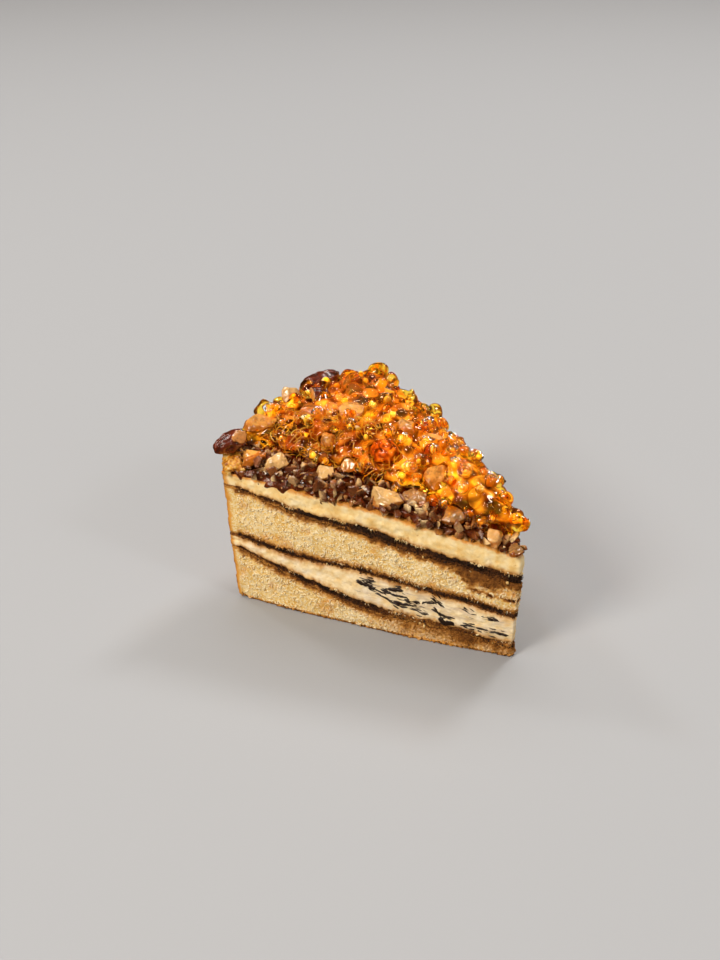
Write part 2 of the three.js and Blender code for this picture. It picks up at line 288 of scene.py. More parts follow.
def centred(tree, value):
    return sums(tree, "SUBTRACT", value, 0.5)


def stepped(tree, value, low, high):
    made = node(tree, "MapRange", {"interpolation_type": "SMOOTHSTEP"}, Value=value)
    made.inputs["From Min"].default_value = low
    made.inputs["From Max"].default_value = high
    return made.outputs["Result"]


def ramp(tree, value, stops):
    made = node(tree, "ValToRGB", Fac=value)
    elements = made.color_ramp.elements
    while len(elements) < len(stops):
        elements.new(1.0)
    for element, (place, colour) in zip(elements, stops):
        element.position = place
        element.color = linear(colour)
    return made.outputs["Color"]


def clouds(tree, where, scale, **inputs):
    return node(tree, "TexNoise", Vector=where, Scale=scale, **inputs).outputs["Fac"]


def speckle(tree, size, detail=2.0, stretch=None):
    """Noise from 0 to 1 with humps of that size in millimetres."""
    where = node(tree, "TexCoord").outputs["Object"]
    if stretch:
        where = node(tree, "Mapping", Vector=where, Scale=stretch).outputs["Vector"]
    return clouds(tree, where, 1 / (size * MM), Detail=detail)


def group(name, inputs, outputs):
    """An empty shader group with those sockets. Colours have no default, and numbers have theirs."""
    tree = bpy.data.node_groups.new(name, "ShaderNodeTree")
    for socket, value in inputs.items():
        kind = "NodeSocketColor" if value is None else "NodeSocketFloat"
        made = tree.interface.new_socket(socket, in_out="INPUT", socket_type=kind)
        if value is not None:
            made.default_value = value
    for socket in outputs:
        kind = "NodeSocketColor" if socket == "Color" else "NodeSocketFloat"
        tree.interface.new_socket(socket, in_out="OUTPUT", socket_type=kind)
    return tree, tree.nodes.new("NodeGroupInput").outputs, tree.nodes.new("NodeGroupOutput").inputs


def placed(tree, inner, **inputs):
    made = tree.nodes.new("ShaderNodeGroup")
    made.node_tree = inner
    for name, value in inputs.items():
        connect(tree, value, made.inputs[name.replace("_", " ")])
    return made.outputs


# Effects that several finishes share
def crumb_group():
    """Open crumb: a tone and a height, from fine pale threads and grains of about the given size."""
    tree, given, out = group("open_crumb", {"Size": 1.0}, ("Tone", "Height"))
    where = node(tree, "TexCoord").outputs["Object"]
    scale = sums(tree, "DIVIDE", 1 / MM, given["Size"])
    grain = clouds(tree, where, scale, Detail=3.0, Roughness=0.6)
    wide = clouds(tree, where, sums(tree, "MULTIPLY", scale, 0.13), Detail=2.0)
    fold = clouds(tree, where, sums(tree, "MULTIPLY", scale, 0.8), Detail=1.5)
    bend = sums(tree, "ABSOLUTE", sums(tree, "MULTIPLY_ADD", fold, 2.0, -1.0))
    thread = sums(tree, "POWER", sums(tree, "SUBTRACT", 1.0, bend), 9.0)
    height = sums(tree, "MULTIPLY_ADD", thread, 0.5, sums(tree, "MULTIPLY", grain, 0.5))
    tone = sums(tree, "MULTIPLY_ADD", wide, 0.4, sums(tree, "MULTIPLY", height, 0.6))
    connect(tree, tone, out["Tone"])
    connect(tree, height, out["Height"])
    return tree


def soak_group():
    """Coffee drawn into the crumb: tan, brown, then nearly black as it gets nearer, with ragged borders."""
    sockets = {"Color": None, "Nearness": 0.0, "Ragged": 0.3}
    tree, given, out = group("coffee_stain", sockets, ("Color",))
    rough = centred(tree, speckle(tree, 1.1, 3.0))
    broad = centred(tree, speckle(tree, 5.0, 2.0))
    uneven = sums(tree, "MULTIPLY", sums(tree, "MULTIPLY_ADD", broad, 1.3, rough), given["Ragged"])
    near = sums(tree, "ADD", given["Nearness"], uneven)
    tan = mixed(tree, stepped(tree, near, 0.35, 0.9), given["Color"], "#cf9444")
    brown = mixed(tree, stepped(tree, near, 0.62, 0.98), tan, "#85521f")
    dark = mixed(tree, stepped(tree, near, 0.86, 1.14), brown, "#3a1e0a")
    connect(tree, dark, out["Color"])
    return tree


def bake_group():
    """Baked crust: golden, then brown in patches."""
    tree, given, out = group("baked_crust", {"Color": None, "Nearness": 0.0}, ("Color",))
    patches = centred(tree, speckle(tree, 2.2, 4.0))
    near = sums(tree, "MULTIPLY_ADD", patches, 0.55, given["Nearness"])
    golden = mixed(tree, stepped(tree, near, 0.15, 0.65), given["Color"], "#d9993e")
    brown = mixed(tree, stepped(tree, near, 0.7, 1.15), golden, "#a0622a")
    connect(tree, brown, out["Color"])
    return tree


def mottle_group():
    """Uneven roasting of nuts and caramel: darker and lighter clouds and fine specks on a colour."""
    sockets = {"Color": None, "Size": 2.0, "Amount": 0.5, "Specks": 0.35}
    tree, given, out = group("roast_mottle", sockets, ("Color", "Height"))
    where = node(tree, "TexCoord").outputs["Object"]
    scale = sums(tree, "DIVIDE", 1 / MM, given["Size"])
    roast = clouds(tree, where, scale, Detail=4.0, Roughness=0.6)
    specks = clouds(tree, where, sums(tree, "MULTIPLY", scale, 4.0), Detail=2.0)
    fine = sums(tree, "MULTIPLY", centred(tree, specks), given["Specks"])
    both = sums(tree, "ADD", sums(tree, "MULTIPLY_ADD", roast, 0.75, 0.17), fine)
    dark = sums(tree, "MULTIPLY", stepped(tree, both, 0.58, 0.38), given["Amount"])
    light = sums(tree, "MULTIPLY", stepped(tree, both, 0.55, 0.75), given["Amount"])
    shaded = mixed(tree, dark, given["Color"], "#3a1c0a")
    lit = mixed(tree, light, shaded, "#f2d29a", "SOFT_LIGHT")
    connect(tree, lit, out["Color"])
    connect(tree, both, out["Height"])
    return tree


CRUMB = crumb_group()
SOAK = soak_group()
BAKE = bake_group()
MOTTLE = mottle_group()


# Finishes
def new_finish(name, **sockets):
    """A material with its tree and its Principled shader, whose plain values are set."""
    made = bpy.data.materials.new(name)
    made.use_nodes = True
    shader = made.node_tree.nodes["Principled BSDF"]
    for socket, value in sockets.items():
        shader.inputs[socket.replace("_", " ")].default_value = value
    return made, made.node_tree, shader


def bumped(tree, shader, height, depth):
    """Bumps so many millimetres deep."""
    bump = node(tree, "Bump", Strength=0.6, Distance=depth * MM, Height=height)
    connect(tree, bump.outputs["Normal"], shader.inputs["Normal"])
    connect(tree, bump.outputs["Normal"], shader.inputs["Coat Normal"])


def stain_masks(tree):
    stain = node(tree, "VertexColor", {"layer_name": STAIN}).outputs["Color"]
    return node(tree, "SeparateColor", Color=stain).outputs


def own_tone(tree):
    return node(tree, "VertexColor", {"layer_name": TONE}).outputs["Color"]


def sponge_finish(name, deep, middle, pale, grain):
    """Crumb in three tones, with bumps of so many millimetres."""
    made, tree, shader = new_finish(name, Roughness=0.85, Specular_IOR_Level=0.2)
    masks = stain_masks(tree)
    crumb = placed(tree, CRUMB, Size=1.0)
    base = ramp(tree, crumb["Tone"], [(0.28, deep), (0.42, middle), (0.58, pale)])
    baked = placed(tree, BAKE, Color=base, Nearness=masks["Green"])["Color"]
    soaked = placed(tree, SOAK, Color=baked, Nearness=masks["Red"], Ragged=0.36)["Color"]
    smeared = placed(tree, SOAK, Color=soaked, Nearness=masks["Blue"], Ragged=0.34)["Color"]
    connect(tree, smeared, shader.inputs["Base Color"])
    if grain:
        bumped(tree, shader, crumb["Height"], grain)
    return made


def syrup_marks(tree, cream, near):
    """Cream with amber syrup drawn into it, brown where the topping is nearest."""
    uneven = centred(tree, speckle(tree, 2.4, 3.0))
    edge = sums(tree, "MULTIPLY_ADD", uneven, 0.9, near)
    amber = mixed(tree, stepped(tree, edge, 0.45, 0.95), cream, "#dc9434")
    return mixed(tree, stepped(tree, edge, 0.95, 1.25), amber, "#94460f")


def marbling(tree, cream, amount):
    """Cream with level grey veils and dark lines of chocolate."""
    streaks = speckle(tree, 2.6, 4.0, stretch=(0.4, 0.4, 2.2))
    veil = sums(tree, "MULTIPLY", stepped(tree, streaks, 0.42, 0.66), amount)
    grey = mixed(tree, sums(tree, "MULTIPLY", veil, 0.6), cream, "#cfbba8")
    lines = sums(tree, "MULTIPLY", stepped(tree, streaks, 0.66, 0.72), amount)
    return mixed(tree, lines, grey, "#3a2a22")


def cream_finish(name, deep, middle, pale, speck_colour, marks):
    """Cream in three tones with specks, and with what marks does to it."""
    made, tree, shader = new_finish(name, Roughness=0.6)
    masks = stain_masks(tree)
    base = ramp(tree, speckle(tree, 3.6, 3.0), [(0.3, deep), (0.48, middle), (0.68, pale)])
    specks = stepped(tree, speckle(tree, 1.6, 2.0), 0.68, 0.76)
    specked = mixed(tree, sums(tree, "MULTIPLY", specks, 0.5), base, speck_colour)
    baked = placed(tree, BAKE, Color=specked, Nearness=masks["Green"])["Color"]
    marked = marks(tree, baked, masks["Blue"])
    soaked = placed(tree, SOAK, Color=marked, Nearness=masks["Red"], Ragged=0.3)["Color"]
    connect(tree, soaked, shader.inputs["Base Color"])
    bumped(tree, shader, speckle(tree, 1.1, 3.0), 0.5)
    return made


def coffee_finish():
    made, tree, shader = new_finish("coffee_line", Roughness=0.62, Specular_IOR_Level=0.25)
    masks = stain_masks(tree)
    crumb = placed(tree, CRUMB, Size=0.8)
    uneven = sums(tree, "MULTIPLY", sums(tree, "SUBTRACT", crumb["Tone"], 0.4), -1.5)
    broad = sums(tree, "MULTIPLY_ADD", centred(tree, speckle(tree, 6.0)), 1.7, uneven)
    depth = sums(tree, "ADD", masks["Red"], broad)
    base = ramp(tree, depth, [(0.05, "#c68c40"), (0.35, "#84501c"), (0.65, "#4e2a0c"), (1.0, "#241205")])
    connect(tree, base, shader.inputs["Base Color"])
    bumped(tree, shader, crumb["Height"], 0.5)
    return made


def mottled(tree, shader, depth, **inputs):
    """Roast mottling as the shader's colour and as bumps so many millimetres deep."""
    mottle = placed(tree, MOTTLE, **inputs)
    connect(tree, mottle["Color"], shader.inputs["Base Color"])
    bumped(tree, shader, mottle["Height"], depth)


def caramel_finish():
    made, tree, shader = new_finish("dark_caramel", Roughness=0.22, Specular_IOR_Level=0.45)
    mottled(tree, shader, 0.4, Color=linear("#662a0c"), Size=2.4, Amount=0.8)
    return made


def nut_finish(name, size, amount, rough, coat, specks=0.35):
    """Nuts in the colour that each chip carries."""
    made, tree, shader = new_finish(name, Roughness=rough, Coat_Weight=coat, Coat_Roughness=0.06)
    mottled(tree, shader, 0.4, Color=own_tone(tree), Size=size, Amount=amount, Specks=specks)
    return made


def amber_finish(name, clear, rough, see_through):
    """Sugar glass in the colour that each bead carries, which lets some light on to what lies behind it."""
    made, tree, shader = new_finish(name, Roughness=rough, IOR=1.46)
    shader.inputs["Transmission Weight"].default_value = clear
    own = own_tone(tree)
    connect(tree, own, shader.inputs["Base Color"])
    glow = node(tree, "BsdfTransparent", Color=own)
    shade = sums(tree, "MULTIPLY", node(tree, "LightPath").outputs["Is Shadow Ray"], see_through)
    blend = node(tree, "MixShader", Fac=shade)
    tree.links.new(shader.outputs[0], blend.inputs[1])
    tree.links.new(glow.outputs[0], blend.inputs[2])
    tree.links.new(blend.outputs[0], tree.nodes["Material Output"].inputs["Surface"])
    return made


def flake_finish():
    made, tree, shader = new_finish("dark_chocolate", Roughness=0.4)
    mottled(tree, shader, 0.2, Color=linear("#231712"), Size=1.2, Amount=0.6)
    return made


# Cake walls: columns round the slice, with the direction that each faces
NEAR, TIP, FAR, RIM = range(4)


def heading(angle):
    return Vector((math.cos(angle), math.sin(angle), 0))


def wall_columns():
    half = SLICE_ANGLE / 2
    near_out, far_out = half - math.pi / 2, math.pi / 2 - half
    cut = np.arange(RADIUS - CORNER_INSET, TIP_INSET, -WALL_STEP)
    columns = [(AXIS - heading(half) * r, near_out, NEAR) for r in cut]
    tip = AXIS - Vector((TIP_INSET * 0.7, 0, 0))
    columns += [(tip, angle, TIP) for angle in np.arange(near_out + FAN_STEP, far_out, FAN_STEP)]
    columns += [(AXIS - heading(-half) * r, far_out, FAR) for r in cut[::-1]]
    corner = columns[-1][0]
    columns += [(corner, angle, RIM) for angle in np.arange(far_out + FAN_STEP, math.pi - half, FAN_STEP)]
    inner = RADIUS - CORNER_INSET
    for angle in np.arange(math.pi - half, math.pi + half, WALL_STEP / RADIUS):
        columns.append((AXIS + heading(angle) * inner, angle, RIM))
    corner = columns[0][0]
    last = 2 * math.pi + near_out
    columns += [(corner, angle, RIM) for angle in np.arange(math.pi + half + FAN_STEP, last, FAN_STEP)]
    return columns


COLUMNS = wall_columns()
COLUMN_AT = np.array([c[0] for c in COLUMNS])
COLUMN_OUT = np.array([heading(c[1]) for c in COLUMNS])
COLUMN_SIDE = np.array([c[2] for c in COLUMNS])
COLUMN_REACH = np.linalg.norm(COLUMN_AT - np.array(AXIS), axis=1) / MM  # from the tip, in millimetres
CUT_COLUMNS = np.where(COLUMN_SIDE != RIM)[0]
LAYER_TREES = {name: tree_of(name) for name in LAYERS}
CAKE_TREE = tree_of(*LAYERS)


def layer_joints():
    """Heights where the layers meet at every column, from the floor to the cream's top, torn a little."""
    spans = []
    for name in LAYERS:
        tree = LAYER_TREES[name]
        tops = [tree.ray_cast(Vector(p) + PLUMB, -UP)[0].z for p in COLUMN_AT]
        floors = [tree.ray_cast(Vector(p) - PLUMB, UP)[0].z for p in COLUMN_AT]
        spans.append((np.array(floors), np.array(tops)))
    joints = [spans[0][0]]
    for lower, upper in zip(spans, spans[1:]):
        joints.append((lower[1] + upper[0]) / 2)
    joints.append(spans[-1][1])
    top = len(LAYERS)
    for k in range(1, top + 1):
        torn = humps(COLUMN_AT, (0.6, 6.3, k), (0.45, 2.0, k + 20), (0.5, 1.05, k + 40))
        joints[k] = joints[k] + torn * MM * (0.5 if k == top else 1)
    return joints


JOINTS = layer_joints()


def cut_hit(tree, start, out, heights):
    """Where a level ray meets a layer's solid, at the first of the heights that finds its wall."""
    for height in heights:
        hit = tree.ray_cast(Vector((start.x, start.y, max(height, RAY_FLOOR))), -out)[0]
        if hit is not None and (hit - start).xy.length < RAY_LIMIT:
            break
    return hit


def rim_hit(start, out, height):
    """Where the rim lies at a height, whichever layer the solids have there."""
    hits = []
    for rise in RIM_PROBES:
        hit = CAKE_TREE.ray_cast(Vector((start.x, start.y, height + rise)), -out)[0]
        if hit is not None:
            hits.append(hit)
    return min(hits, key=lambda hit: (hit - start).xy.length)


def wall_points(index, rows):
    """Rows of points on the solids, from a layer's floor to its top."""
    tree = LAYER_TREES[LAYERS[index]]
    columns = list(zip(COLUMN_AT, COLUMN_OUT, COLUMN_SIDE, JOINTS[index], JOINTS[index + 1]))
    points = []
    for share in np.linspace(0, 1, rows + 1):
        for at, facing, side, floor, top in columns:
            out = Vector(facing)
            start = Vector(at) + out * RAY_START
            height = floor + (top - floor) * share
            if side == RIM and index > 0:
                hit = rim_hit(start, out, height)
            else:
                # the layer's middle serves where a torn joint leaves its solid
                hit = cut_hit(tree, start, out, (height, (floor + top) / 2))
            points.append((hit.x, hit.y, height))
    return np.array(points)


def sponge_relief(points):
    relief = humps(points, (0.3, 7, 1), (0.24, 2.2, 2), (0.22, 1.1, 3))
    return relief - 0.35 * smooth(pores(points, 3.0, 4), 0.25, 0.03)


def cream_relief(points):
    relief = humps(points, (0.3, 6, 5), (0.34, 2.4, 6), (0.24, 1.3, 7))
    return relief - 0.4 * smooth(pores(points, 4.4, 8), 0.16, 0.03)


def coffee_relief(points):
    return humps(points, (0.25, 2.4, 9), (0.22, 1.1, 10)) - COFFEE_INSET / MM


RELIEFS = {"sponge": sponge_relief, "cream": cream_relief, "coffee": coffee_relief}


def wall_relief(kind, points, share, side, on_rim):
    """How far the wall stands out of the solids, in millimetres: less on the rim and at the tip."""
    relief = RELIEFS[kind](points)
    relief = relief * np.where(side == RIM, RIM_RELIEF, 1.0) * np.where(side == TIP, TIP_RELIEF, 1.0)
    if kind == "coffee":
        return relief + COFFEE_INSET / MM * on_rim
    edge = np.abs(2 * share - 1) ** 6
    return relief - EDGE_ROUNDING * (1 - on_rim) * edge


def coffee_depth(name, share, reach):
    """How dark a coffee line is: darkest under the cream, partly coffee and partly painted shadow of its
    overhang, and the lowest paler towards the tip.
    """
    if name == "coffee_soak_middle":
        return 0.95 - 0.75 * np.abs(2 * share - 1) ** 1.5
    start = 0.2 * smooth(reach, 50, 100)
    # painted shadow of the cream's overhang along with the coffee's own stain: darker towards the line's top
    dark = (0.35 + 0.65 * smooth(share, start, start + 0.5)) * (1 - 0.2 * smooth(reach, 70, 100))
    if name == "coffee_soak_upper":
        return np.maximum(dark, 0.72 * smooth(reach, 72, 58))
    return dark * (1 - 0.4 * smooth(reach, 62, 40))


def smear(points, reach, below):
    """Where coffee has run down into the sponge, by distance from the tip and depth below the line."""
    uneven = 1 + 0.5 * wobble(points, 5, 11) + 0.5 * wobble(points, 1.8, 12)
    depth = 7.5 * smooth(reach, 34, 14) * (1 - 0.3 * smooth(reach, 7, 1)) * uneven + 0.01
    run = 0.92 * smooth(below, depth * 1.6, depth * 0.5) * smooth(reach, 33, 20)
    streak = 1.05 * np.exp(-(((below - 7.8) / 1.3) ** 2)) * smooth(reach, 24, 12) * np.clip(uneven, 0, 1.1)
    thick = 0.98 * smooth(reach, 66, 54) * smooth(below, 4.2 * np.clip(uneven, 0.4, 1.6), 0.3)
    return np.maximum(np.maximum(run, streak), thick)


def soak(index, kind, share, above, below, reach):
    """Nearness to coffee: a coffee line's own depth, or how near one lies to a place in sponge or cream."""
    if kind == "coffee":
        return coffee_depth(LAYERS[index], share, reach)
    from_below = np.clip(1 - above / SOAK_REACH, 0, 1) if index > 0 else 0
    from_above = np.clip(1 - below / SOAK_REACH, 0, 1) if index < len(LAYERS) - 1 else 0
    if kind == "sponge":
        return np.maximum(RISEN_SOAK * from_below, from_above)
    return CREAM_SOAK * np.maximum(from_below, from_above)


def base_soak(points, share, above, reach):
    """Coffee that has sunk to the lowest sponge's tip, and its brown edge on the floor."""
    sunk = (0.58 + 0.32 * share + 0.24 * wobble(points, 7, 13)) * smooth(reach, 68, 36)
    return np.maximum(sunk, 0.95 * smooth(above, FLOOR_REACH, 0.3))


def blue_stain(name, points, share, below, reach):
    """The stains' blue: smear in the tall sponge, marbling in the middle cream, syrup in the top one."""
    if name == "sponge_middle":
        return smear(points, reach, below)
    if name == "cream_middle":
        along = smooth(reach, 62, 54) * smooth(reach, -1, 2)
        return along * smooth(share, 0.05, 0.2) * smooth(share, 1, 0.85)
    if name == "cream_top":
        return np.clip(1 - below / TOPPING_REACH, 0, 1)
    return 0


def layer_wall(index):
    """The layer's side as rows of points from its floor to its top, with each point's stains."""
    name = LAYERS[index]
    kind = name.split("_")[0]
    floors, tops = JOINTS[index], JOINTS[index + 1]
    rows = max(FEWEST_ROWS, round(float((tops - floors).max()) / WALL_STEP))
    points = wall_points(index, rows)
    share = np.repeat(np.linspace(0, 1, rows + 1), len(COLUMNS))
    above = (points[:, 2] - np.tile(floors, rows + 1)) / MM
    below = (np.tile(tops, rows + 1) - points[:, 2]) / MM
    reach = np.tile(COLUMN_REACH, rows + 1)
    out = np.tile(COLUMN_OUT, (rows + 1, 1))
    side = np.tile(COLUMN_SIDE, rows + 1)
    on_rim = smooth(-out[:, 0], 0.5, 0.9)
    points = raised(points, out, wall_relief(kind, points, share, side, on_rim))

    rim = RADIUS + RIM_FLARE * points[:, 2] / CAKE_HEIGHT
    rim_gap = (rim - np.linalg.norm(points[:, :2] - np.array(AXIS)[:2], axis=1)) / MM
    crust = np.clip(1 - rim_gap / CRUST_REACH, 0, 1)
    coffee = soak(index, kind, share, above, below, reach)
    if index == 0:
        crust = np.maximum(crust, np.clip(1.15 - above / FLOOR_REACH, 0, 1))
        coffee = np.maximum(coffee, base_soak(points, share, above, reach))
    if kind == "sponge":
        crust = np.maximum(crust, 0.36 * smooth(wobble(points, 9, 14), 0.05, 0.45))
    stains = np.zeros((len(points), 3))
    stains[:, 0] = coffee * (1 - RIM_FADE * on_rim)
    stains[:, 1] = crust
    stains[:, 2] = blue_stain(name, points, share, below, reach)
    return points, stains, rows


def layer_mesh(name, points, stains, rows):
    """A closed mesh from rows of wall points, with a flat floor and top inside the cake."""
    columns = len(COLUMNS)
    faces = []
    for row in range(rows):
        for i in range(columns):
            j = (i + 1) % columns
            a, b = row * columns, (row + 1) * columns
            faces.append((a + i, a + j, b + j, b + i))
    faces.append(tuple(range(columns - 1, -1, -1)))
    faces.append(tuple(range(rows * columns, (rows + 1) * columns)))
    caps = {len(faces) - 2, len(faces) - 1}
    return mesh_of(name, points, faces, stains, STAIN, caps)


# The walls' crumb is painted darker, as shade between the torn bits, and the torn bits are a paler copy
# painted as lit.
SPONGE = sponge_finish("sponge_crumb", deep="#d9ac58", middle="#e8ca86", pale="#f2e0b6", grain=0.3)
LIT_SPONGE_FLUFF = sponge_finish("sponge_fluff", deep="#f6e0a8", middle="#f6e7be", pale="#f7edd0", grain=0)
COFFEE = coffee_finish()
CREAM_TOP = cream_finish(
    "cream_under_topping", deep="#f0c97e", middle="#f9dea0", pale="#feedc2",
    speck_colour="#b07a3a", marks=syrup_marks,
)
CREAM_MIDDLE = cream_finish(
    "cream_marbled", deep="#f1d092", middle="#fae5b8", pale="#fff2d6",
    speck_colour="#a98a5c", marks=marbling,
)
FINISHES = {
    "sponge_bottom": SPONGE,
    "sponge_middle": SPONGE,
    "cream_top": CREAM_TOP,
    "cream_middle": CREAM_MIDDLE,
}
SLOTS = {"sponge": "sponge", "coffee": "coffee_soak", "cream": "cream"}
WALLS, STAINS = {}, {}


def slot_of(layer):
    return SLOTS[layer.split("_")[0]]


for index, name in enumerate(LAYERS):
    points, stains, rows = layer_wall(index)
    WALLS[name] = points.reshape(rows + 1, len(COLUMNS), 3)
    STAINS[name] = stains.reshape(rows + 1, len(COLUMNS), 3)
    mesh = layer_mesh(name + "_torn", points, stains, rows)
    piece(name + "_torn", mesh, FINISHES.get(name, COFFEE), slot_of(name), name)


# Scattering over a solid
TRIES = 5  # for each place that the spacing leaves room for
AROUND = [(i, j, k) for i in (-1, 0, 1) for j in (-1, 0, 1) for k in (-1, 0, 1)]


def spread(name, spacing, seed, keep):
    """Points on a solid at least so many millimetres apart, with the way each faces, where keep says yes."""
    draw = np.random.default_rng(seed)
    apart = spacing * MM
    mesh = solid(name)
    mesh.calc_loop_triangles()
    corners = coordinates(mesh)
    triangles = np.array([t.vertices for t in mesh.loop_triangles])
    a, b, c = (corners[triangles[:, k]] for k in range(3))
    cross = np.cross(b - a, c - a)
    area = np.linalg.norm(cross, axis=1) / 2
    count = int(area.sum() / apart**2 * TRIES)
    chosen = draw.choice(len(triangles), count, p=area / area.sum())
    s, t = draw.random(count), draw.random(count)
    s, t = np.where(s + t > 1, 1 - s, s), np.where(s + t > 1, 1 - t, t)
    spots = a[chosen] + (b - a)[chosen] * s[:, None] + (c - a)[chosen] * t[:, None]
    facing = cross[chosen] / (2 * area[chosen])[:, None]
    taken, kept = {}, []
    for spot, way in zip(spots, facing):
        cell = tuple(np.floor(spot / apart).astype(int))
        others = [taken.get((cell[0] + i, cell[1] + j, cell[2] + k)) for i, j, k in AROUND]
        if any(o is not None and np.linalg.norm(o - spot) < apart for o in others):
            continue
        if keep(Vector(spot), Vector(way)):
            taken[cell] = spot
            kept.append((spot, way))
    return kept


ALMOND_NODES = [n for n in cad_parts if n.startswith("almond_")] + ["amber_jelly"]
ALMOND_TREES = [tree_of(n) for n in ALMOND_NODES]
AMBER_TREE = tree_of("amber_crust")


def clear_of_almonds(spot, room):
    """Whether no almond, nor the jelly, lies within so many millimetres."""
    return all(tree.find_nearest(spot, room * MM)[0] is None for tree in ALMOND_TREES)


def any_turn(draw):
    """A random rotation."""
    w, x, y, z = unit(draw.normal(size=4))
    return np.array(
        [
            [1 - 2 * (y * y + z * z), 2 * (x * y - z * w), 2 * (x * z + y * w)],
            [2 * (x * y + z * w), 1 - 2 * (x * x + z * z), 2 * (y * z - x * w)],
            [2 * (x * z - y * w), 2 * (y * z + x * w), 1 - 2 * (x * x + y * y)],
        ]
    )


def turned_to(draw, way):
    """A rotation that lays something on a slope facing that way, within some tilt."""
    up = unit(way + draw.normal(size=3) * 0.35)
    side = unit(np.cross(up, draw.normal(size=3)))
    return np.stack([side, np.cross(up, side), up], 1)


class Heap:
    """Points, faces and colours of many small things that become one mesh."""

    def __init__(self):
        self.points, self.faces, self.colours, self.count = [], [], [], 0

    def add(self, points, faces, colour=NO_TONE):
        """Adds a thing in one colour, or in a colour for each of its points."""
        self.points.append(points)
        self.faces.extend([[i + self.count for i in f] for f in faces])
        self.colours.append(np.broadcast_to(np.asarray(colour)[..., :3], (len(points), 3)))
        self.count += len(points)

    def add_solid(self, name):
        self.add(coordinates(solid(name)), [list(p.vertices) for p in solid(name).polygons])

    def mesh(self, name, flat=False, layer=TONE):
        flat_faces = set(range(len(self.faces))) if flat else ()
        points, colours = np.concatenate(self.points), np.concatenate(self.colours)
        return mesh_of(name, points, self.faces, colours, layer, flat_faces)


def form_of(shape):
    """The points and faces of a shape, which is then freed."""
    points = np.array([v.co for v in shape.verts])
    faces = [[v.index for v in f.verts] for f in shape.faces]
    shape.free()
    return points, faces


def ball(levels):
    shape = bmesh.new()
    bmesh.ops.create_icosphere(shape, subdivisions=levels, radius=1)
    return form_of(shape)


BALL_FINE, BALL, BALL_COARSE = ball(3), ball(2), ball(1)


def lumpy(draw, form, size, stretch, lump):
    """A lumpy pebble of that size, with uneven sides, turned at random."""
    points = np.sign(form[0]) * np.abs(form[0]) ** draw.uniform(0.55, 0.95)
    wave = draw.normal(size=3) * 1.7
    swell = 1 + lump * np.sin(points @ wave + draw.random() * 6)
    sides = draw.uniform(1 - stretch, 1 + stretch, 3)
    return (points * swell[:, None] * sides * size) @ any_turn(draw).T


def ring(draw, size, thick, sweeps, waves, steps, sides):
    """A curl of thread: part of a ring that waves in and out, closed at its ends."""
    sweep, wave, start = draw.uniform(*sweeps), draw.uniform(*waves), draw.uniform(0, 2 * math.pi)
    points = []
    for i in range(steps + 1):
        angle = sweep * i / steps
        taper = thick * (0.6 + 0.4 * math.sin(math.pi * i / steps))
        lift = 0.35 * size * math.sin(angle * 0.5)
        for k in range(sides):
            turn = 2 * math.pi * k / sides
            radius = size * (1 + wave * math.sin(1.7 * angle + start)) + taper * math.cos(turn)
            points.append((radius * math.cos(angle), radius * math.sin(angle), lift + taper * math.sin(turn)))
    faces = [
        (i * sides + k, (i + 1) * sides + k, (i + 1) * sides + (k + 1) % sides, i * sides + (k + 1) % sides)
        for i in range(steps)
        for k in range(sides)
    ]
    faces.append(tuple(range(sides)))
    faces.append(tuple(steps * sides + k for k in range(sides - 1, -1, -1)))
    return np.array(points) * draw.uniform(0.8, 1.2, 3), [f[::-1] for f in faces]


def blended(draw, colours):
    """A colour between two picks from the list."""
    picks = draw.choice(len(colours), 2)
    one, other = (np.array(linear(colours[i])) for i in picks)
    return one + (other - one) * draw.random() * 0.5


# Amber sugar: oval patches of the top, by middle and half sizes
WEB = (Vector((-0.018, -0.014)), Vector((0.028, 0.022)))  # where the sugar is drawn into fine threads
GEL = (Vector((-0.044, 0.024)), Vector((0.02, 0.026)))  # where it has run together
TIP_FROM, TIP_TO = 44 * MM, 54 * MM  # along the slice, where sugar keeps in towards the tip
COILED_FROM, COILED_TO = -2 * MM, 12 * MM  # along the slice, where beads turn into coils

# Amber colours
# painted glow and shade for the hidden layers inside the amber, from dark brown to pale yellow
AMBER_DEPTHS = [(-0.35, "#341402"), (-0.12, "#86490e"), (0.1, "#d69c48"), (0.35, "#ffeab0")]  # deep inside
# the clear mass's tint: painted shade in the hollows between lumps, paler as painted light on their tops
AMBER_CLEAR_SHADING = [(-0.5, "#a8640a"), (-0.15, "#ffc02a"), (0.15, "#ffd640"), (0.5, "#ffe050")]  # hollows to lumps
AMBER_BEADS = ["#ffd848", "#ffcc38", "#ffe25e", "#ffc02c"]
AMBER_COILS = ["#ffdc50", "#ffe468", "#ffd244", "#ffe060"]
# painted glow: pale lumps inside the beads
AMBER_HEARTS = ["#ffecb0", "#ffd67c", "#e6aa4a", "#b67222"]  # inside the beads
AMBER_GOLD = ["#ffd850", "#ffc02c", "#f6ac1c", "#dc9018"]  # threads

# Curls: how far round each goes, how it waves, steps along it and sides
THREAD = ((2.6, 6.1), (0.2, 0.6), 12, 4)
COIL = ((5.4, 6.25), (0.0, 0.08), 18, 6)
COIL_ANGLES = (math.radians(26), math.radians(58))  # from the top of the bead
HEART_FROM = 1.5 * MM  # smaller beads have no heart


def patch(spots, middle, size):
    """1 within an oval patch of the top and 0 outside it."""
    away = ((spots[..., 0] - middle.x) / size.x) ** 2 + ((spots[..., 1] - middle.y) / size.y) ** 2
    return smooth(away, 1.25, 0.6)


def in_web(spots):
    return patch(spots, *WEB)


def in_gel(spots):
    return patch(spots, *GEL)


def at_tip(spot):
    return smooth(spot[0], TIP_FROM, TIP_TO)


def coiled(spot):
    return smooth(spot[0], COILED_FROM, COILED_TO)


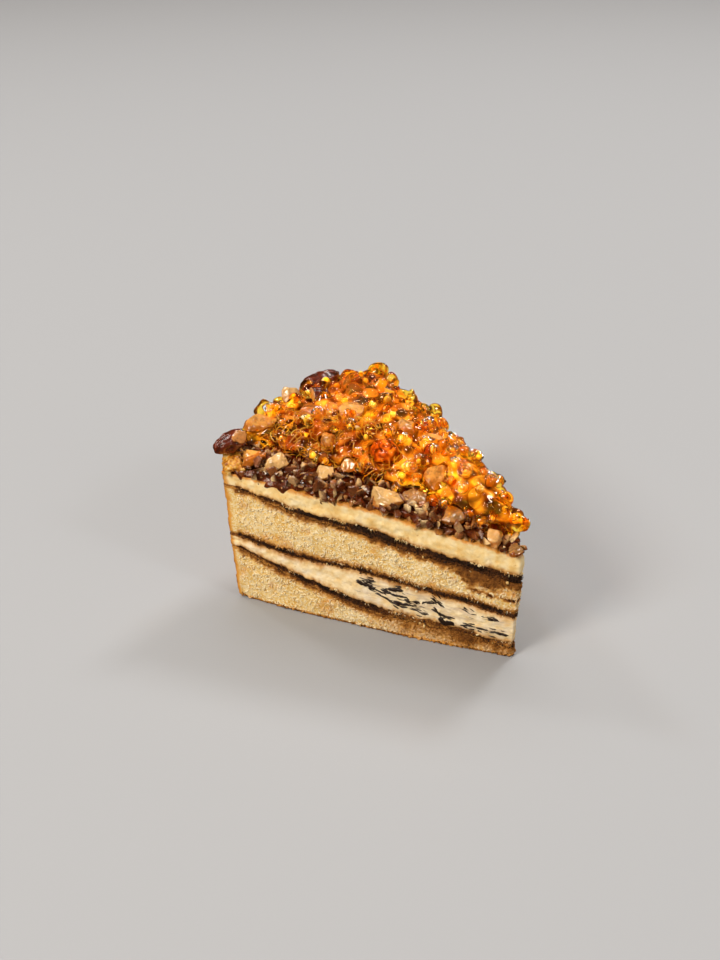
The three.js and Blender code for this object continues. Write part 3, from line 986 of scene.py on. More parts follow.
def over(spot):
    """How far beads stand out to the sides and up: more up than out, and not out at the tip."""
    out = 0.4 - 1.5 * at_tip(spot)
    return np.array((out, out, 1.0))


def on_amber(room):
    return lambda spot, way: way.z > -0.1 and clear_of_almonds(spot, room)


def amber_core():
    """A hidden layer inside the amber, painted with glow and shade: patches from dark brown to yellow."""
    mesh, points, ways = softened(solid("amber_crust").copy(), voxel=1.0, rounds=2)
    put(mesh, raised(points, ways, 0.5 * wobble(points, 3.0, 31) - 1.0))
    depth = humps(points, (0.75, 5.0, 32), (0.35, 2.0, 33), (0.35, 11, 34))
    # painted glow, paler towards the tip and a little darker under the web of threads
    depth += 0.16 * smooth(points[:, 0], -12 * MM, 18 * MM) - 0.08 - 0.06 * in_web(points)
    return tinted(mesh, depth, AMBER_DEPTHS)


def amber_mass():
    """The crust as one clear mass of lumps that have run together, tinted darker in its hollows as painted
    shade.
    """
    draw = np.random.default_rng(41)
    heap = Heap()
    for spot, way in spread("amber_crust", spacing=4.4, seed=42, keep=on_amber(1.6)):
        size = draw.uniform(1.5, 3.2) * (1 - 0.5 * in_web(spot)) * (1 + 0.25 * in_gel(spot)) * MM
        points = lumpy(draw, BALL_FINE, size, stretch=0.3, lump=0.16)
        heap.add(points + spot + way * size * draw.uniform(-0.45, 0.15), BALL_FINE[1])
    heap.add_solid("amber_crust")
    mesh, points, ways = softened(heap.mesh("amber_lumps"), voxel=0.57, rounds=3)
    # painted shade and light: the tint follows each point's height over the evened crust
    height = ((points - evened(mesh, rounds=40)) * ways).sum(1) / MM
    tint = height - 0.4 * in_web(points) - 0.3 * in_gel(points) + 0.3 * wobble(points, 6, 35)
    return tinted(mesh, tint, AMBER_CLEAR_SHADING)


HEARTS = Heap()


def add_heart(draw, middle, size):
    """A pale lump inside a bead, off its middle: painted glow that lights the bead up."""
    points = lumpy(draw, BALL, size * draw.uniform(0.3, 0.5), stretch=0.5, lump=0.35)
    aside = draw.normal(size=3) * size * 0.15
    HEARTS.add(points + middle + aside, BALL[1], blended(draw, AMBER_HEARTS))


def amber_beads(name, form, spacing, sizes, share, sink, room, seed):
    """Lumps of sugar glass over the crust, as many as share says for a spot."""
    draw = np.random.default_rng(seed)
    heap = Heap()
    for spot, way in spread("amber_crust", spacing, seed + 1, on_amber(room)):
        if draw.random() > share(spot):
            continue
        size = draw.uniform(*sizes) * MM
        middle = spot + way * over(spot) * size * draw.uniform(*sink)
        points = lumpy(draw, form, size, stretch=0.3, lump=0.2) + middle
        heap.add(points, form[1], blended(draw, AMBER_BEADS))
        if size > HEART_FROM:
            add_heart(draw, middle, size)
    return heap.mesh(name)


def amber_threads(spacing, sizes, thickness, lift, seed):
    """Fine curls of drawn sugar, turned any way."""
    draw = np.random.default_rng(seed)
    heap = Heap()
    for spot, way in spread("amber_crust", spacing, seed + 1, on_amber(0.4)):
        if draw.random() > 0.65 * in_web(spot):
            continue
        points, faces = ring(draw, draw.uniform(*sizes) * MM, draw.uniform(*thickness) * MM, *THREAD)
        points = points @ any_turn(draw).T + spot + way * draw.uniform(*lift) * MM
        heap.add(points, faces, blended(draw, AMBER_GOLD))
    return heap.mesh("amber_threads")


def amber_coils(spacing, sizes, seed):
    """Beads with coils of sugar wound into them, like a ball of yarn cut across."""
    draw = np.random.default_rng(seed)
    heap = Heap()
    for spot, way in spread("amber_crust", spacing, seed + 1, on_amber(1.5)):
        if draw.random() > 0.05 + 0.25 * in_web(spot) + 0.9 * coiled(spot):
            continue
        size = draw.uniform(*sizes) * (1 - 0.35 * at_tip(spot)) * MM
        middle = spot + way * over(spot) * size * draw.uniform(0.3, 0.8)
        colour = blended(draw, AMBER_COILS)
        heap.add(lumpy(draw, BALL_FINE, size, stretch=0.14, lump=0.08) + middle, BALL_FINE[1], colour)
        add_heart(draw, middle, size)
        turn = turned_to(draw, way)
        for polar in COIL_ANGLES:
            wide = size * math.sin(polar) * draw.uniform(0.9, 1.1)
            points, faces = ring(draw, wide, size * draw.uniform(0.14, 0.2), *COIL)
            points[:, 2] += size * math.cos(polar)
            heap.add(points @ turn.T + middle, faces, colour)
    return heap.mesh("amber_coils")


def bead_share(spot):
    return 1 - 0.5 * in_web(spot) - 0.5 * coiled(spot)


def pearl_share(spot):
    return 0.8 + 0.2 * in_web(spot)


AMBER_INSIDE = amber_finish("amber_inside", clear=0.0, rough=0.5, see_through=0.3)
AMBER_MASS = amber_finish("amber_mass", clear=1.0, rough=0.03, see_through=0.8)
AMBER_BEAD = amber_finish("amber_bead", clear=1.0, rough=0.02, see_through=0.8)
AMBER_THREAD = amber_finish("amber_thread", clear=0.4, rough=0.03, see_through=0.7)
piece("amber_core", amber_core(), AMBER_INSIDE, "amber_sugar")
piece("amber_mass", amber_mass(), AMBER_MASS, "amber_sugar", "amber_crust")
beads = amber_beads(
    "amber_beads", BALL_FINE, share=bead_share,
    spacing=4.6, sizes=(0.8, 2.0), sink=(0.5, 1.2), room=1.2, seed=51,
)
piece("amber_beads", beads, AMBER_BEAD, "amber_sugar")
pearls = amber_beads(
    "amber_pearls", BALL, share=pearl_share,
    spacing=4.4, sizes=(0.3, 0.6), sink=(1.0, 3.0), room=0.4, seed=56,
)
piece("amber_pearls", pearls, AMBER_BEAD, "amber_sugar")
threads = amber_threads(spacing=1.35, sizes=(0.6, 2.2), thickness=(0.1, 0.2), lift=(0.0, 1.5), seed=61)
piece("amber_threads", threads, AMBER_THREAD, "amber_sugar")
piece("amber_coils", amber_coils(spacing=4.6, sizes=(1.5, 2.8), seed=66), AMBER_BEAD, "amber_sugar")
piece("amber_hearts", HEARTS.mesh("amber_hearts"), AMBER_INSIDE, "amber_sugar")

# Jelly
JELLY_SWIRL = np.array((1.2, -0.9)) * MM  # from the jelly's middle to the middle of its rings
# painted glow and shade for the hidden layer inside the jelly, from dark brown to pale orange
JELLY_INSIDE = [(-0.45, "#3c1602"), (-0.1, "#8a4208"), (0.2, "#c87a20"), (0.5, "#f0b050")]
JELLY_CLEAR = [(-0.6, "#ee8c1c"), (0.0, "#ffb02c"), (0.6, "#ffc446")]


def jelly_mesh(sunk, shades):
    """The jelly as a smooth lump, sunk below its solid's surface by so many millimetres."""
    mesh, points, ways = softened(solid("amber_jelly").copy(), voxel=0.45, rounds=8)
    from_middle = np.linalg.norm(points[:, :2] - points[:, :2].mean(0) - JELLY_SWIRL, axis=1) / MM
    swell = humps(points, (0.6, 4.5, 71), (0.25, 2, 72)) + 0.22 * np.cos(from_middle * 3.6)
    put(mesh, raised(points, ways, swell - sunk))
    return tinted(mesh, swell + 0.6 * wobble(points, 1.9, 73), shades)


# a hidden layer inside the jelly, painted with glow and shade
piece("amber_jelly_core", jelly_mesh(sunk=1.1, shades=JELLY_INSIDE), AMBER_INSIDE, "amber_sugar")
piece("amber_jelly_lump", jelly_mesh(sunk=-0.1, shades=JELLY_CLEAR), AMBER_MASS, "amber_sugar", "amber_jelly")

# Nut bed
PUDDLES = wobble(COLUMN_AT, 5, 19)  # well above 0 where caramel has run over the cream's edge
RUN_STEP = 4  # columns between lumps of caramel along the cream's edge
SHARD_POINTS = 9  # whose hull a bit of nut is
SHARD_BEVEL = 0.07  # as a share of its size
AMBER_ABOVE = 6 * MM  # nuts under sugar that near aren't seen
CORNER_BARE = 8 * MM  # how far from the corner nuts begin
NUT_SKIN = ["#32120a", "#54240e", "#733a18", "#8a5026"]
NUT_FLESH = ["#7a4420", "#a66e38", "#c9965c", "#e4bd84", "#efd09a"]
NEAR_CORNER = AXIS - heading(SLICE_ANGLE / 2) * (RADIUS + RIM_FLARE)


def caramel_mesh():
    """The bed with caramel run together at its edges, and over the cream's edge here and there."""
    draw = np.random.default_rng(81)
    heap = Heap()
    top = WALLS["cream_top"][-1]
    for i in range(0, len(COLUMNS), RUN_STEP):
        size = draw.uniform(0.9, 1.9) * MM
        if PUDDLES[i] > draw.uniform(0.1, 0.35):
            inward = draw.uniform(0.6, 1.3)
            rise = draw.uniform(-1.4, -0.2)
            size = 1.4 * MM + 0.6 * size
        else:
            inward = draw.uniform(0.4, 2.2)
            rise = draw.uniform(0.1, 1.2)
        spot = top[i] - COLUMN_OUT[i] * inward * MM + np.array([0, 0, rise * MM])
        heap.add(lumpy(draw, BALL, size, stretch=0.25, lump=0.1) + spot, BALL[1])
    heap.add_solid("nut_bed")
    mesh, points, ways = softened(heap.mesh("caramel"), voxel=0.85, rounds=3)
    put(mesh, raised(points, ways, 0.35 * wobble(points, 2.2, 82) - 0.9))
    return smoothed(mesh)


piece("caramel_bed", caramel_mesh(), caramel_finish(), "caramel_nuts", "nut_bed")


def shard(draw, size):
    """A broken bit of nut: the hull of a few points in a flattened ball."""
    shape = bmesh.new()
    sides = np.array([1.0, draw.uniform(0.55, 0.95), draw.uniform(0.3, 0.65)]) * size
    for _ in range(SHARD_POINTS):
        shape.verts.new(Vector(unit(draw.normal(size=3)) * draw.uniform(0.8, 1.0) * sides))
    made = bmesh.ops.convex_hull(shape, input=shape.verts)
    inner = [v for v in made["geom_interior"] if isinstance(v, bmesh.types.BMVert)]
    bmesh.ops.delete(shape, geom=inner, context="VERTS")
    bmesh.ops.bevel(
        shape, geom=shape.edges[:], affect="EDGES", clamp_overlap=True,
        offset=size * SHARD_BEVEL, offset_type="OFFSET", segments=1, profile=0.5,
    )
    shape.verts.index_update()
    return form_of(shape)


def corner_gap(spot):
    return (spot - NEAR_CORNER).xy.length


def on_bed(spot, way):
    """Whether a place on the nut bed is open above, clear of almonds and away from the corner."""
    if way.z < -0.05 or AMBER_TREE.ray_cast(spot, UP, AMBER_ABOVE)[0] is not None:
        return False
    return clear_of_almonds(spot, 0.4) and corner_gap(spot) > CORNER_BARE


def nut_chips(name, spacing, sizes, lift, seed):
    """Broken nuts with skin on one side, lying any way on the bed."""
    draw = np.random.default_rng(seed)
    heap = Heap()
    for spot, way in spread("nut_bed", spacing, seed + 1, on_bed):
        size = draw.uniform(*sizes) * MM
        points, faces = shard(draw, size)
        axis = unit(draw.normal(size=3))
        inside = smooth(points @ axis / size, 0.0, 0.25)[:, None]
        points = points @ any_turn(draw).T + spot + way * draw.uniform(*lift) * max(way[2], 0) * MM
        skin, flesh = blended(draw, NUT_SKIN), blended(draw, NUT_FLESH)
        heap.add(points, faces, skin + (flesh - skin) * inside)
    return heap.mesh(name, flat=True)


CHOPPED = nut_finish("chopped_nut", size=2.4, amount=0.5, rough=0.26, coat=0.8)
shards = nut_chips("nut_shards", spacing=2.5, sizes=(2.0, 4.2), lift=(0.4, 1.8), seed=91)
piece("nut_shards", shards, CHOPPED, "caramel_nuts")
chips = nut_chips("nut_chips", spacing=2.0, sizes=(0.7, 1.5), lift=(0.2, 1.8), seed=95)
piece("nut_chips", chips, CHOPPED, "caramel_nuts")

# Almonds
ALMONDS_SKIN = ("whole_corner", "whole_back", "low_back")
ALMONDS_TAN = (
    "tan_corner", "half_rim", "tan_rim", "heart", "round",
    "tan_front", "flat_top", "sliver_far", "red_far",
)
ALMONDS_PALE = ("pale_corner", "cube_rim", "pale_front", "blanched_edge", "pale_tip")
ALMONDS_BROWN = ("slice_edge", "brown_near", "brown_tip")
ALMOND_VOXEL = 0.4
PLANE_STEP = 0.2 * MM  # faces this near to a plane count as part of it
PLANE_SHARE = 0.06  # of an almond's area, above which a plane is a cut
CUT_GAP = 0.22 * MM  # points this near to a cut lie in it
BROKEN_SKIN = {"whole_corner": (0.9, 0.2, 0.75), "whole_back": (-0.4, -0.9, 0.6)}  # the broken spot's facing
BROKEN_DEPTH = 1.3 * MM
GLAZE = np.array(linear("#b4620e"))[:3]


def cut_planes(mesh):
    """The flat cuts of an almond, as a point and a normal each: planes with a good share of its area."""
    found = {}
    for p in mesh.polygons:
        key = tuple(round(x, 2) for x in p.normal) + (round(p.center.dot(p.normal) / PLANE_STEP),)
        area, point, normal = found.get(key, (0, p.center.copy(), p.normal.copy()))
        found[key] = (area + p.area, point, normal)
    total = sum(area for area, _, _ in found.values())
    return [(point, normal) for area, point, normal in found.values() if area > PLANE_SHARE * total]


def chopped(points, cut, draw, count, depth):
    """Points flattened on to some broken faces, mostly on the upper side."""
    middle = points.mean(0)
    for _ in range(count):
        way = draw.normal(size=3)
        way[2] = abs(way[2]) + 0.1
        way = unit(way)
        reach = (points - middle) @ way
        beyond = np.maximum(reach - reach.max() * draw.uniform(1 - depth, 1 - depth / 3), 0)
        points = points - np.outer(beyond, way)
        cut = cut | (beyond > 0)
    return points, cut


def almond_shape(name, wrinkle, chops, seed):
    """An almond rounded from its solid: its points and faces, where it is cut, and its ridges' heights."""
    source = solid("almond_" + name)
    mesh = remeshed(source.copy(), ALMOND_VOXEL)
    points = coordinates(mesh)
    cut = np.zeros(len(points), bool)
    for point, normal in cut_planes(source):
        cut |= np.abs((points - np.array(point)) @ np.array(normal)) < CUT_GAP
    points, cut = chopped(evened(mesh, rounds=9, fixed=cut), cut, np.random.default_rng(seed), *chops)
    put(mesh, points)
    middle = points.mean(0)
    long_axis = np.linalg.svd(points - middle, full_matrices=False)[2][0]
    along = (points - middle) @ long_axis
    squeezed = points - np.outer(along * 0.72, long_axis)
    creases = 0.6 - 2.2 * np.abs(wobble(squeezed, 1.7, seed)) + 0.4 * wobble(squeezed, 0.9, seed + 4)
    ridges = creases * wrinkle + 0.25 * wobble(points, 3.4, seed + 1)
    broken = humps(points, (0.34, 2.3, seed + 2), (0.16, 0.9, seed + 3))
    points = raised(points, directions(mesh), np.where(cut, broken, ridges + 0.14))
    if name in BROKEN_SKIN:
        way = unit(np.array(BROKEN_SKIN[name]))
        reach = (points - middle) @ way
        beyond = np.maximum(reach - (reach.max() - BROKEN_DEPTH), 0)
        points = points - np.outer(beyond * 0.8, way)
        cut = cut | (beyond > 0)
    faces = [list(p.vertices) for p in mesh.polygons]
    bpy.data.meshes.remove(mesh)
    return points, faces, cut, ridges


def almonds(piece_name, names, finish, slot, skin, flesh, wrinkle, chops, glazed, seed):
    """Almonds of one kind as one piece, in two colours and glazed up to a share of their height."""
    heap = Heap()
    skin, flesh = np.array(linear(skin)), np.array(linear(flesh))
    for k, name in enumerate(names):
        points, faces, cut, ridges = almond_shape(name, wrinkle, chops, seed + 5 * k)
        bare = smooth(cut.astype(float) + 0.5 * wobble(points, 1.6, seed + k), 0.3, 0.8)[:, None]
        shade = 1 + 0.25 * (np.random.default_rng(seed + k).random() - 0.5)
        tone = ((1 - bare) * skin + bare * flesh)[:, :3] * shade
        # painted shade in the skin's creases and painted light on its ridges, by the ridges' heights
        tone = tone * (1 + np.where(cut, 0, np.clip(ridges * 1.5, -0.6, 0.6)))[:, None]
        height = (points[:, 2] - points[:, 2].min()) / np.ptp(points[:, 2])
        runs = height + 0.4 * wobble(points, 2.5, seed + k + 50) + 0.2 * wobble(points, 1.1, seed + k + 60)
        glaze = smooth(runs, glazed, glazed - 0.4)[:, None] * 0.8
        heap.add(points, faces, tone * (1 - glaze) + GLAZE * glaze)
    piece(piece_name, heap.mesh(piece_name), finish, slot, *["almond_" + n for n in names])


almonds(
    "almonds_in_skin", ALMONDS_SKIN,
    nut_finish("almond_skin", size=1.5, amount=0.5, rough=0.24, coat=0.9, specks=0.15),
    "almond_skin", skin="#591f0c", flesh="#c98a4e",
    wrinkle=0.55, chops=(0, 0), glazed=0.3, seed=101,
)
almonds(
    "almonds_glazed", ALMONDS_TAN,
    nut_finish("glazed_almond", size=3.0, amount=0.5, rough=0.2, coat=1.0, specks=0.2),
    "almond_flesh", skin="#bc6a20", flesh="#dc9c4c",
    wrinkle=0.32, chops=(5, 0.42), glazed=0.85, seed=141,
)
almonds(
    "almonds_pale", ALMONDS_PALE,
    nut_finish("pale_almond", size=3.5, amount=0.4, rough=0.24, coat=1.0, specks=0.12),
    "almond_flesh", skin="#b8762e", flesh="#d6ac70",
    wrinkle=0.2, chops=(7, 0.5), glazed=0.55, seed=201,
)
almonds(
    "almonds_brown", ALMONDS_BROWN,
    nut_finish("brown_almond", size=3.0, amount=0.5, rough=0.22, coat=1.0, specks=0.15),
    "almond_flesh", skin="#84481f", flesh="#b08654",
    wrinkle=0.18, chops=(6, 0.45), glazed=0.55, seed=241,
)

# Chocolate ribbons in the marbled cream: thickness, then places by reach from the tip and share of the height
RIBBONS = (
    (0.95, ((59, 0.7), (54, 0.61), (48, 0.62), (42, 0.58), (36, 0.55), (31, 0.64))),
    (0.6, ((57, 0.78), (52, 0.8))),
    (1.2, ((46, 0.74), (42, 0.84))),
    (0.6, ((51, 0.46), (44, 0.3))),
    (1.1, ((44, 0.35), (38, 0.34))),
    (0.5, ((38, 0.26), (32, 0.2))),
    (0.8, ((30, 0.84), (27, 0.68))),
    (0.8, ((29, 0.48), (26, 0.3), (23, 0.34))),
    (2.0, ((26, 0.08), (22, 0.12))),
    (0.7, ((18, 0.2), (13, 0.28), (3, 0.31))),
    (0.6, ((18, 0.74), (13, 0.71))),
    (0.7, ((11, 0.77), (6, 0.77))),
)
RIBBON_STEP = 2.2 * MM  # between the flakes that make up a ribbon
RIBBON_FLAKES = ((1.3, 0.2), (0.6, 0.7), (0.4, 1.0), (0.35, 1.3))  # size and stray of those at each step
FAR_SHIFT = (-4, 4)  # how far a ribbon moves along on the far cut
FLAKE_DEPTH = 0.45


def wall_spot(layer, side, reach, share):
    """A place on a layer's cut face, with the way it faces."""
    on_side = np.where(COLUMN_SIDE == side)[0]
    column = on_side[np.argmin(np.abs(COLUMN_REACH[on_side] - reach))]
    wall = WALLS[layer]
    row = round(share * (len(wall) - 1))
    return wall[row, column], COLUMN_OUT[column]


def flake(draw, heap, spot, out, level, length, thick):
    """Adds one thin bent flake that lies in the cream's cut face, with its length along level."""
    rise = np.cross(out, level)
    seed = draw.integers(99)
    form = BALL[0] * (1 + 0.3 * wobble(BALL[0] * MM, 0.7, seed)[:, None])
    local = form * np.array([length / 2, FLAKE_DEPTH, thick / 2]) * MM
    bend = draw.uniform(0.1, 0.4) * thick * MM * np.sin(form[:, 0] * 2.4 + seed)
    points = np.outer(local[:, 0], level) + np.outer(local[:, 1], out) + np.outer(local[:, 2] + bend, rise)
    heap.add(points + spot - out * draw.uniform(0.0, 0.15) * MM, BALL[1])


def ribbon(draw, heap, start, end, out, thick):
    """Adds flakes one after another from start to end, with smaller ones beside them."""
    length = np.linalg.norm(end - start)
    way = (end - start) / length
    for share in np.arange(0.15, 1, RIBBON_STEP / length):
        spot = start + (end - start) * share
        for size, stray in RIBBON_FLAKES:
            level = unit(way + np.array([0, 0, draw.normal() * 0.14]))
            long = draw.uniform(2.6, 4.6) * (0.5 + 0.5 * size)
            aside = np.array([0, 0, draw.normal() * stray * MM])
            flake(draw, heap, spot + aside, out, level, long, thick * size * draw.uniform(0.5, 1.1))


def flakes():
    """The ribbons on both cuts."""
    draw = np.random.default_rng(301)
    heap = Heap()
    for side in (NEAR, FAR):
        for thick, places in RIBBONS:
            shift = 0 if side == NEAR else draw.uniform(*FAR_SHIFT)
            spots = [wall_spot("cream_middle", side, max(reach + shift, 3), share) for reach, share in places]
            for (start, out), (end, _) in zip(spots, spots[1:]):
                ribbon(draw, heap, start, end, out, thick)
    return heap.mesh("chocolate_flakes")


piece("chocolate_flakes", flakes(), flake_finish(), "coffee_soak")

# Fluff and loose crumbs on the cut faces and along the joints
SPINDLE = (
    np.array([(0, 0, -1), (1, 0, 0), (0, 1, 0), (-1, 0, 0), (0, -1, 0), (0, 0, 1.0)]),
    [(0, 2, 1), (0, 3, 2), (0, 4, 3), (0, 1, 4), (5, 1, 2), (5, 2, 3), (5, 3, 4), (5, 4, 1)],
)
CRUMB_THREAD = ((0.9, 2.2), (0.0, 0.3), 3, 4)  # as the curls of sugar
TUFTS = wobble(COLUMN_AT, 7, 17)  # above 0 where crumbs cling together
# painted shade: torn bits are tinted golden at their lower and inner ends, where shade falls
UNDERSIDE_SHADE = 0.42  # how golden torn bits are at their lower and inner ends
SPONGE_BITS, COFFEE_BITS = 3100, 1800  # torn bits on a layer
FRINGE_TRIES = 1000  # along a row
FRAYED_ROWS = {"cream_top": (0, 1), "cream_middle": (0,), "sponge_middle": (0,)}  # rows that hang over a line


def tuft(draw, way, length, width):
    """A thin bit of torn crumb that points about that way."""
    sides = np.array((width, width, length)) / 2 * MM
    return (SPINDLE[0] * sides) @ turned_to(draw, way + draw.normal(size=3) * 0.6).T


def soaked_tuft(draw, out):
    """A short tuft of crumb that stands up along a wall facing out."""
    return tuft(draw, np.array(UP) + out * 0.1, draw.uniform(0.6, 1.4), draw.uniform(0.3, 0.6)), SPINDLE[1]


def crumb_thread(draw, out):
    """A short bent thread of crumb that lies along a wall facing out."""
    points, faces = ring(draw, draw.uniform(0.6, 1.2) * MM, draw.uniform(0.2, 0.36) * MM, *CRUMB_THREAD)
    return (points - points.mean(0)) @ turned_to(draw, out).T, faces


def off_floor(points):
    """Points lifted so that none is below the floor."""
    return points + np.array([0, 0, max(0, -points[:, 2].min())])


def fluff(layer, count, torn_bit, finish, seed):
    """Small torn bits on a layer's cut faces, stained as the wall behind them, and golden below as painted
    shade.
    """
    draw = np.random.default_rng(seed)
    heap = Heap()
    wall, stains = WALLS[layer], STAINS[layer]
    for column, row in zip(draw.choice(CUT_COLUMNS, count), draw.integers(1, len(wall) - 1, count)):
        out = COLUMN_OUT[column]
        points, faces = torn_bit(draw, out)
        aside = draw.uniform(-0.5, 0.5, 3) * WALL_STEP + out * draw.uniform(-0.14, 0.08) * MM
        points = off_floor(points + wall[row, column] + aside)
        outward = (points - points.mean(0)) @ (out + np.array(UP)) / (0.3 * MM)
        tone = np.tile(stains[row, column], (len(points), 1))
        # painted shade: the crust channel turns the bits golden at their lower and inner ends
        tone[:, 1] = np.maximum(tone[:, 1], UNDERSIDE_SHADE * smooth(outward, 0.2, -0.6))
        heap.add(points, faces, tone)
    name = layer + "_fluff"
    piece(name, heap.mesh(name, layer=STAIN), finish, slot_of(layer))


def fringe(layer, finish, seed):
    """Frayed bits along a layer's lower edge, which hang over the coffee line below it."""
    draw = np.random.default_rng(seed)
    heap = Heap()
    wall, stains = WALLS[layer], STAINS[layer]
    down = np.array(-UP)
    for row in FRAYED_ROWS[layer]:
        for column in draw.choice(CUT_COLUMNS, FRINGE_TRIES):
            if TUFTS[column] < draw.uniform(-0.1, 0.6):
                continue
            out = COLUMN_OUT[column]
            length = draw.uniform(0.7, 2.2)
            points = tuft(draw, down + out * 0.2, length, draw.uniform(0.24, 0.42))
            spot = wall[row, column] + down * length * 0.2 * MM + out * draw.uniform(-0.1, 0.2) * MM
            paler = np.array((draw.uniform(0.4, 1.1), 1, 1))
            heap.add(points + spot, SPINDLE[1], stains[row, column] * paler)
    name = layer + "_fringe"
    piece(name, heap.mesh(name, layer=STAIN), finish, slot_of(layer))


fluff("sponge_middle", SPONGE_BITS, crumb_thread, LIT_SPONGE_FLUFF, seed=451)
fluff("sponge_bottom", SPONGE_BITS, crumb_thread, LIT_SPONGE_FLUFF, seed=452)
for index, name in enumerate(("coffee_soak_lower", "coffee_soak_middle", "coffee_soak_upper")):
    fluff(name, COFFEE_BITS, soaked_tuft, COFFEE, seed=455 + index)
fringe("cream_top", CREAM_TOP, seed=461)
fringe("cream_middle", CREAM_MIDDLE, seed=462)
fringe("sponge_middle", LIT_SPONGE_FLUFF, seed=463)

# Loose crumbs lie at places that each name a layer and a range of its height
CREAM_EDGES = (
    ("cream_top", (0.0, 0.1)),
    ("cream_top", (0.0, 0.04)),
    ("cream_middle", (0.0, 0.06)),
    ("cream_middle", (0.95, 1)),
)
SPONGE_EDGES = (("sponge_middle", (0.95, 1)), ("sponge_middle", (0.0, 0.06)), ("sponge_bottom", (0.9, 1)))
COFFEE_LINES = tuple((name, (0, 1)) for name in LAYERS if name.startswith("coffee"))
BASE_EDGE = (("sponge_bottom", (0.0, 0.06)),)
CREAM_CRUMBS = ["#f3dca6", "#e6c684", "#f8e8c0", "#c99a56"]
SPONGE_CRUMBS = ["#ecc986", "#c9974e", "#9a6730", "#f3dba2"]
COFFEE_CRUMBS = ["#3a2210", "#5e3818", "#24150b", "#2c1a0c"]
BASE_CRUMBS = ["#b47a35", "#d09a4c", "#8a5724"]
CRUMBS = nut_finish("loose_crumb", size=0.8, amount=0.4, rough=0.85, coat=0.0)


def crumbs(piece_name, places, colours, count, sizes, seed):
    """Crumbs on the cut faces, and on the lowest sponge's rim."""
    draw = np.random.default_rng(seed)
    heap = Heap()
    for _ in range(count):
        layer, shares = places[draw.integers(len(places))]
        wall, column = WALLS[layer], draw.integers(len(COLUMNS))
        bare = TUFTS[column] < draw.uniform(-0.3, 0.5)
        if bare or COLUMN_SIDE[column] == RIM and layer != "sponge_bottom":
            continue
        row = round(draw.uniform(*shares) * (len(wall) - 1))
        size = draw.uniform(*sizes) * MM
        points = lumpy(draw, BALL_COARSE, size, stretch=0.45, lump=0.2)
        points = points + COLUMN_OUT[column] * draw.uniform(-0.2, 0.2) * MM + wall[row, column]
        heap.add(off_floor(points), BALL_COARSE[1], blended(draw, colours))
    piece(piece_name, heap.mesh(piece_name), CRUMBS, "sponge")


crumbs("cream_crumbs", CREAM_EDGES, CREAM_CRUMBS, count=450, sizes=(0.2, 0.6), seed=401)
crumbs("sponge_crumbs", SPONGE_EDGES, SPONGE_CRUMBS, count=500, sizes=(0.2, 0.6), seed=405)
crumbs("coffee_crumbs", COFFEE_LINES, COFFEE_CRUMBS, count=1200, sizes=(0.2, 0.5), seed=408)
crumbs("base_crumbs", BASE_EDGE, BASE_CRUMBS, count=900, sizes=(0.2, 0.5), seed=411)

# Corner crust
CORNER_SHADES = [(-0.45, "#96500a"), (-0.15, "#cf8216"), (0.12, "#eaac3a"), (0.45, "#fadc98")]
CORNER_REACH = 10 * MM


def on_corner(spot, way):
    return way.z > -0.3 and corner_gap(spot) < CORNER_REACH and clear_of_almonds(spot, 0.2)


def corner_crust():
    """Sugared cream that has run up over the nut bed at the corner."""
    draw = np.random.default_rng(421)
    heap = Heap()
    for spot, way in spread("nut_bed", spacing=1.1, seed=422, keep=on_corner):
        away = smooth(corner_gap(Vector(spot)), 5 * MM, CORNER_REACH)
        size = draw.uniform(0.9, 1.5) * (1 - 0.45 * away) * MM
        heap.add(lumpy(draw, BALL, size, stretch=0.3, lump=0.2) + spot - way * 0.5 * MM, BALL[1])
    mesh, points, ways = softened(heap.mesh("corner_lumps"), voxel=0.4, rounds=2)
    grain = humps(points, (0.6, 0.95, 423), (0.5, 3.0, 424))
    put(mesh, raised(points, ways, 0.5 * grain))
    return tinted(mesh, grain, CORNER_SHADES)


GOLDEN_GRAIN = nut_finish("golden_grain", size=1.2, amount=0.3, rough=0.4, coat=0.4)
piece("corner_crust", corner_crust(), GOLDEN_GRAIN, "cream")


# Floor, light and camera
FLOOR_SIZE = 8


def stage():
    """A wide floor, nearly neutral in the light that it throws back."""
    bpy.ops.mesh.primitive_plane_add(size=FLOOR_SIZE)
    floor = bpy.context.object
    floor.name = "floor"
    material, tree, shader = new_finish("pale_floor", Roughness=0.7)
    seen = node(tree, "LightPath").outputs["Is Camera Ray"]
    connect(tree, mixed(tree, seen, "#a6a5a2", "#a3a8b0"), shader.inputs["Base Color"])
    floor.data.materials.append(material)
    floor.visible_glossy = False
    floor.visible_transmission = False


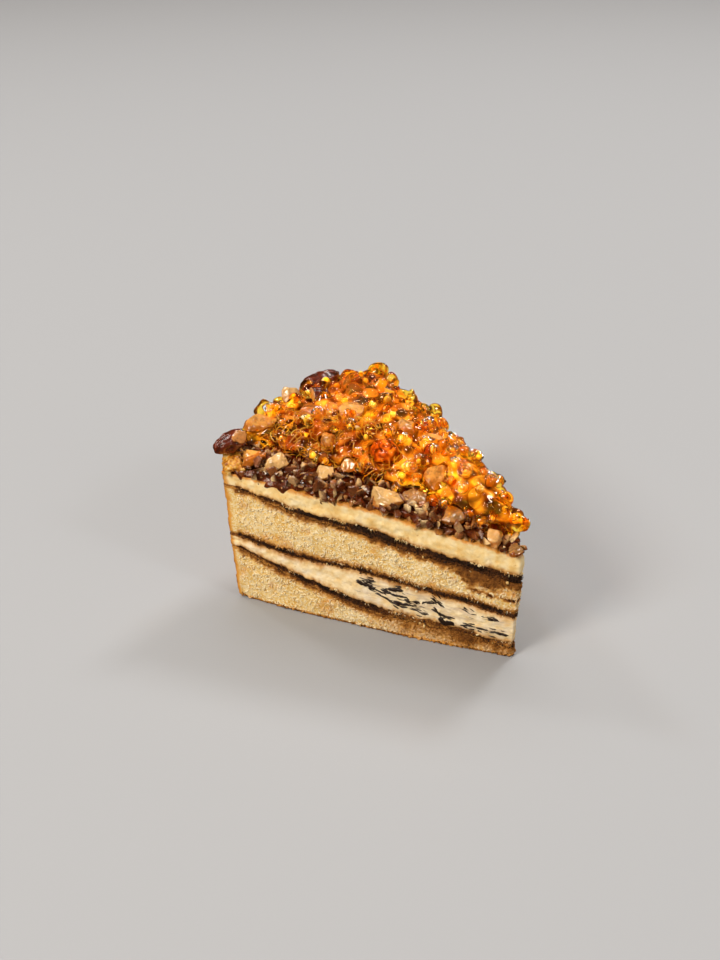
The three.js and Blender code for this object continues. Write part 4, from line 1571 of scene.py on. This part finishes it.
# Lamps: place across, up and away as the camera looks, size, energy, colour, and if glossy things show it
LIT_POINT = Vector((0, 0, 0.03))
LAMPS = (
    ("key", (-1.5, 1.5, -1.3), 0.7, 47.0, "#fff2e0", True),
    ("top", (0, 2.6, 1.4), 2.2, 46.0, "#fff4e8", False),
    ("fill", (1.9, 1.3, -1.5), 1.6, 9.0, "#ffeeda", False),
    ("glint", (0.9, 1.6, 1.2), 0.4, 16.0, "#fffaf2", True),
    ("glint_left", (-1.1, 1.3, 1.0), 0.25, 6.0, "#fffaf2", True),
    ("spark", (-0.5, 1.9, -0.3), 0.2, 4.5, "#ffffff", True),
    ("spark_right", (1.2, 1.1, -0.9), 0.2, 3.5, "#ffffff", True),
)


def lamps():
    """Large soft lights round the slice, and small ones that glint in the sugar."""
    right = heading(CAMERA_TURN)
    forward = heading(CAMERA_TURN + math.pi / 2)
    for name, (across, rise, away), size, energy, colour, mirrored in LAMPS:
        data = bpy.data.lights.new(name, "AREA")
        data.size, data.energy = size, energy
        data.color = linear(colour)[:3]
        made = bpy.data.objects.new(name, data)
        made.location = LIT_POINT + right * across + UP * rise + forward * away
        made.rotation_euler = (LIT_POINT - made.location).to_track_quat("-Z", "Y").to_euler()
        made.visible_glossy = mirrored
        bpy.context.scene.collection.objects.link(made)


def studio():
    """A dim warm room that the camera sees as pale, and the sugar as paler still."""
    world = bpy.data.worlds.new("studio")
    world.use_nodes = True
    tree = world.node_tree
    dim = tree.nodes["Background"]
    dim.inputs["Color"].default_value = linear("#ffe0ba")
    path = node(tree, "LightPath").outputs
    connect(tree, sums(tree, "MULTIPLY_ADD", path["Is Glossy Ray"], -0.12, 0.16), dim.inputs["Strength"])
    through = sums(tree, "MULTIPLY_ADD", path["Is Transmission Ray"], 0.5, 1.0)
    pale = node(tree, "Background", Color=linear("#c9c5c2"), Strength=through)
    clear = sums(tree, "MAXIMUM", path["Is Camera Ray"], path["Is Transmission Ray"])
    seen = node(tree, "MixShader", Fac=clear)
    tree.links.new(dim.outputs[0], seen.inputs[1])
    tree.links.new(pale.outputs[0], seen.inputs[2])
    tree.links.new(seen.outputs[0], tree.nodes["World Output"].inputs["Surface"])
    bpy.context.scene.world = world


def camera():
    data = bpy.data.cameras.new("camera")
    data.lens = CAMERA_LENS
    data.sensor_width = CAMERA_SENSOR
    data.clip_start = 0.01
    made = bpy.data.objects.new("camera", data)
    made.location = CAMERA_AT
    made.rotation_euler = (math.pi / 2 - CAMERA_PITCH, 0, CAMERA_TURN)
    bpy.context.scene.collection.objects.link(made)
    bpy.context.scene.camera = made


stage()
lamps()
studio()
camera()
bpy.context.scene.view_settings.view_transform = "Standard"
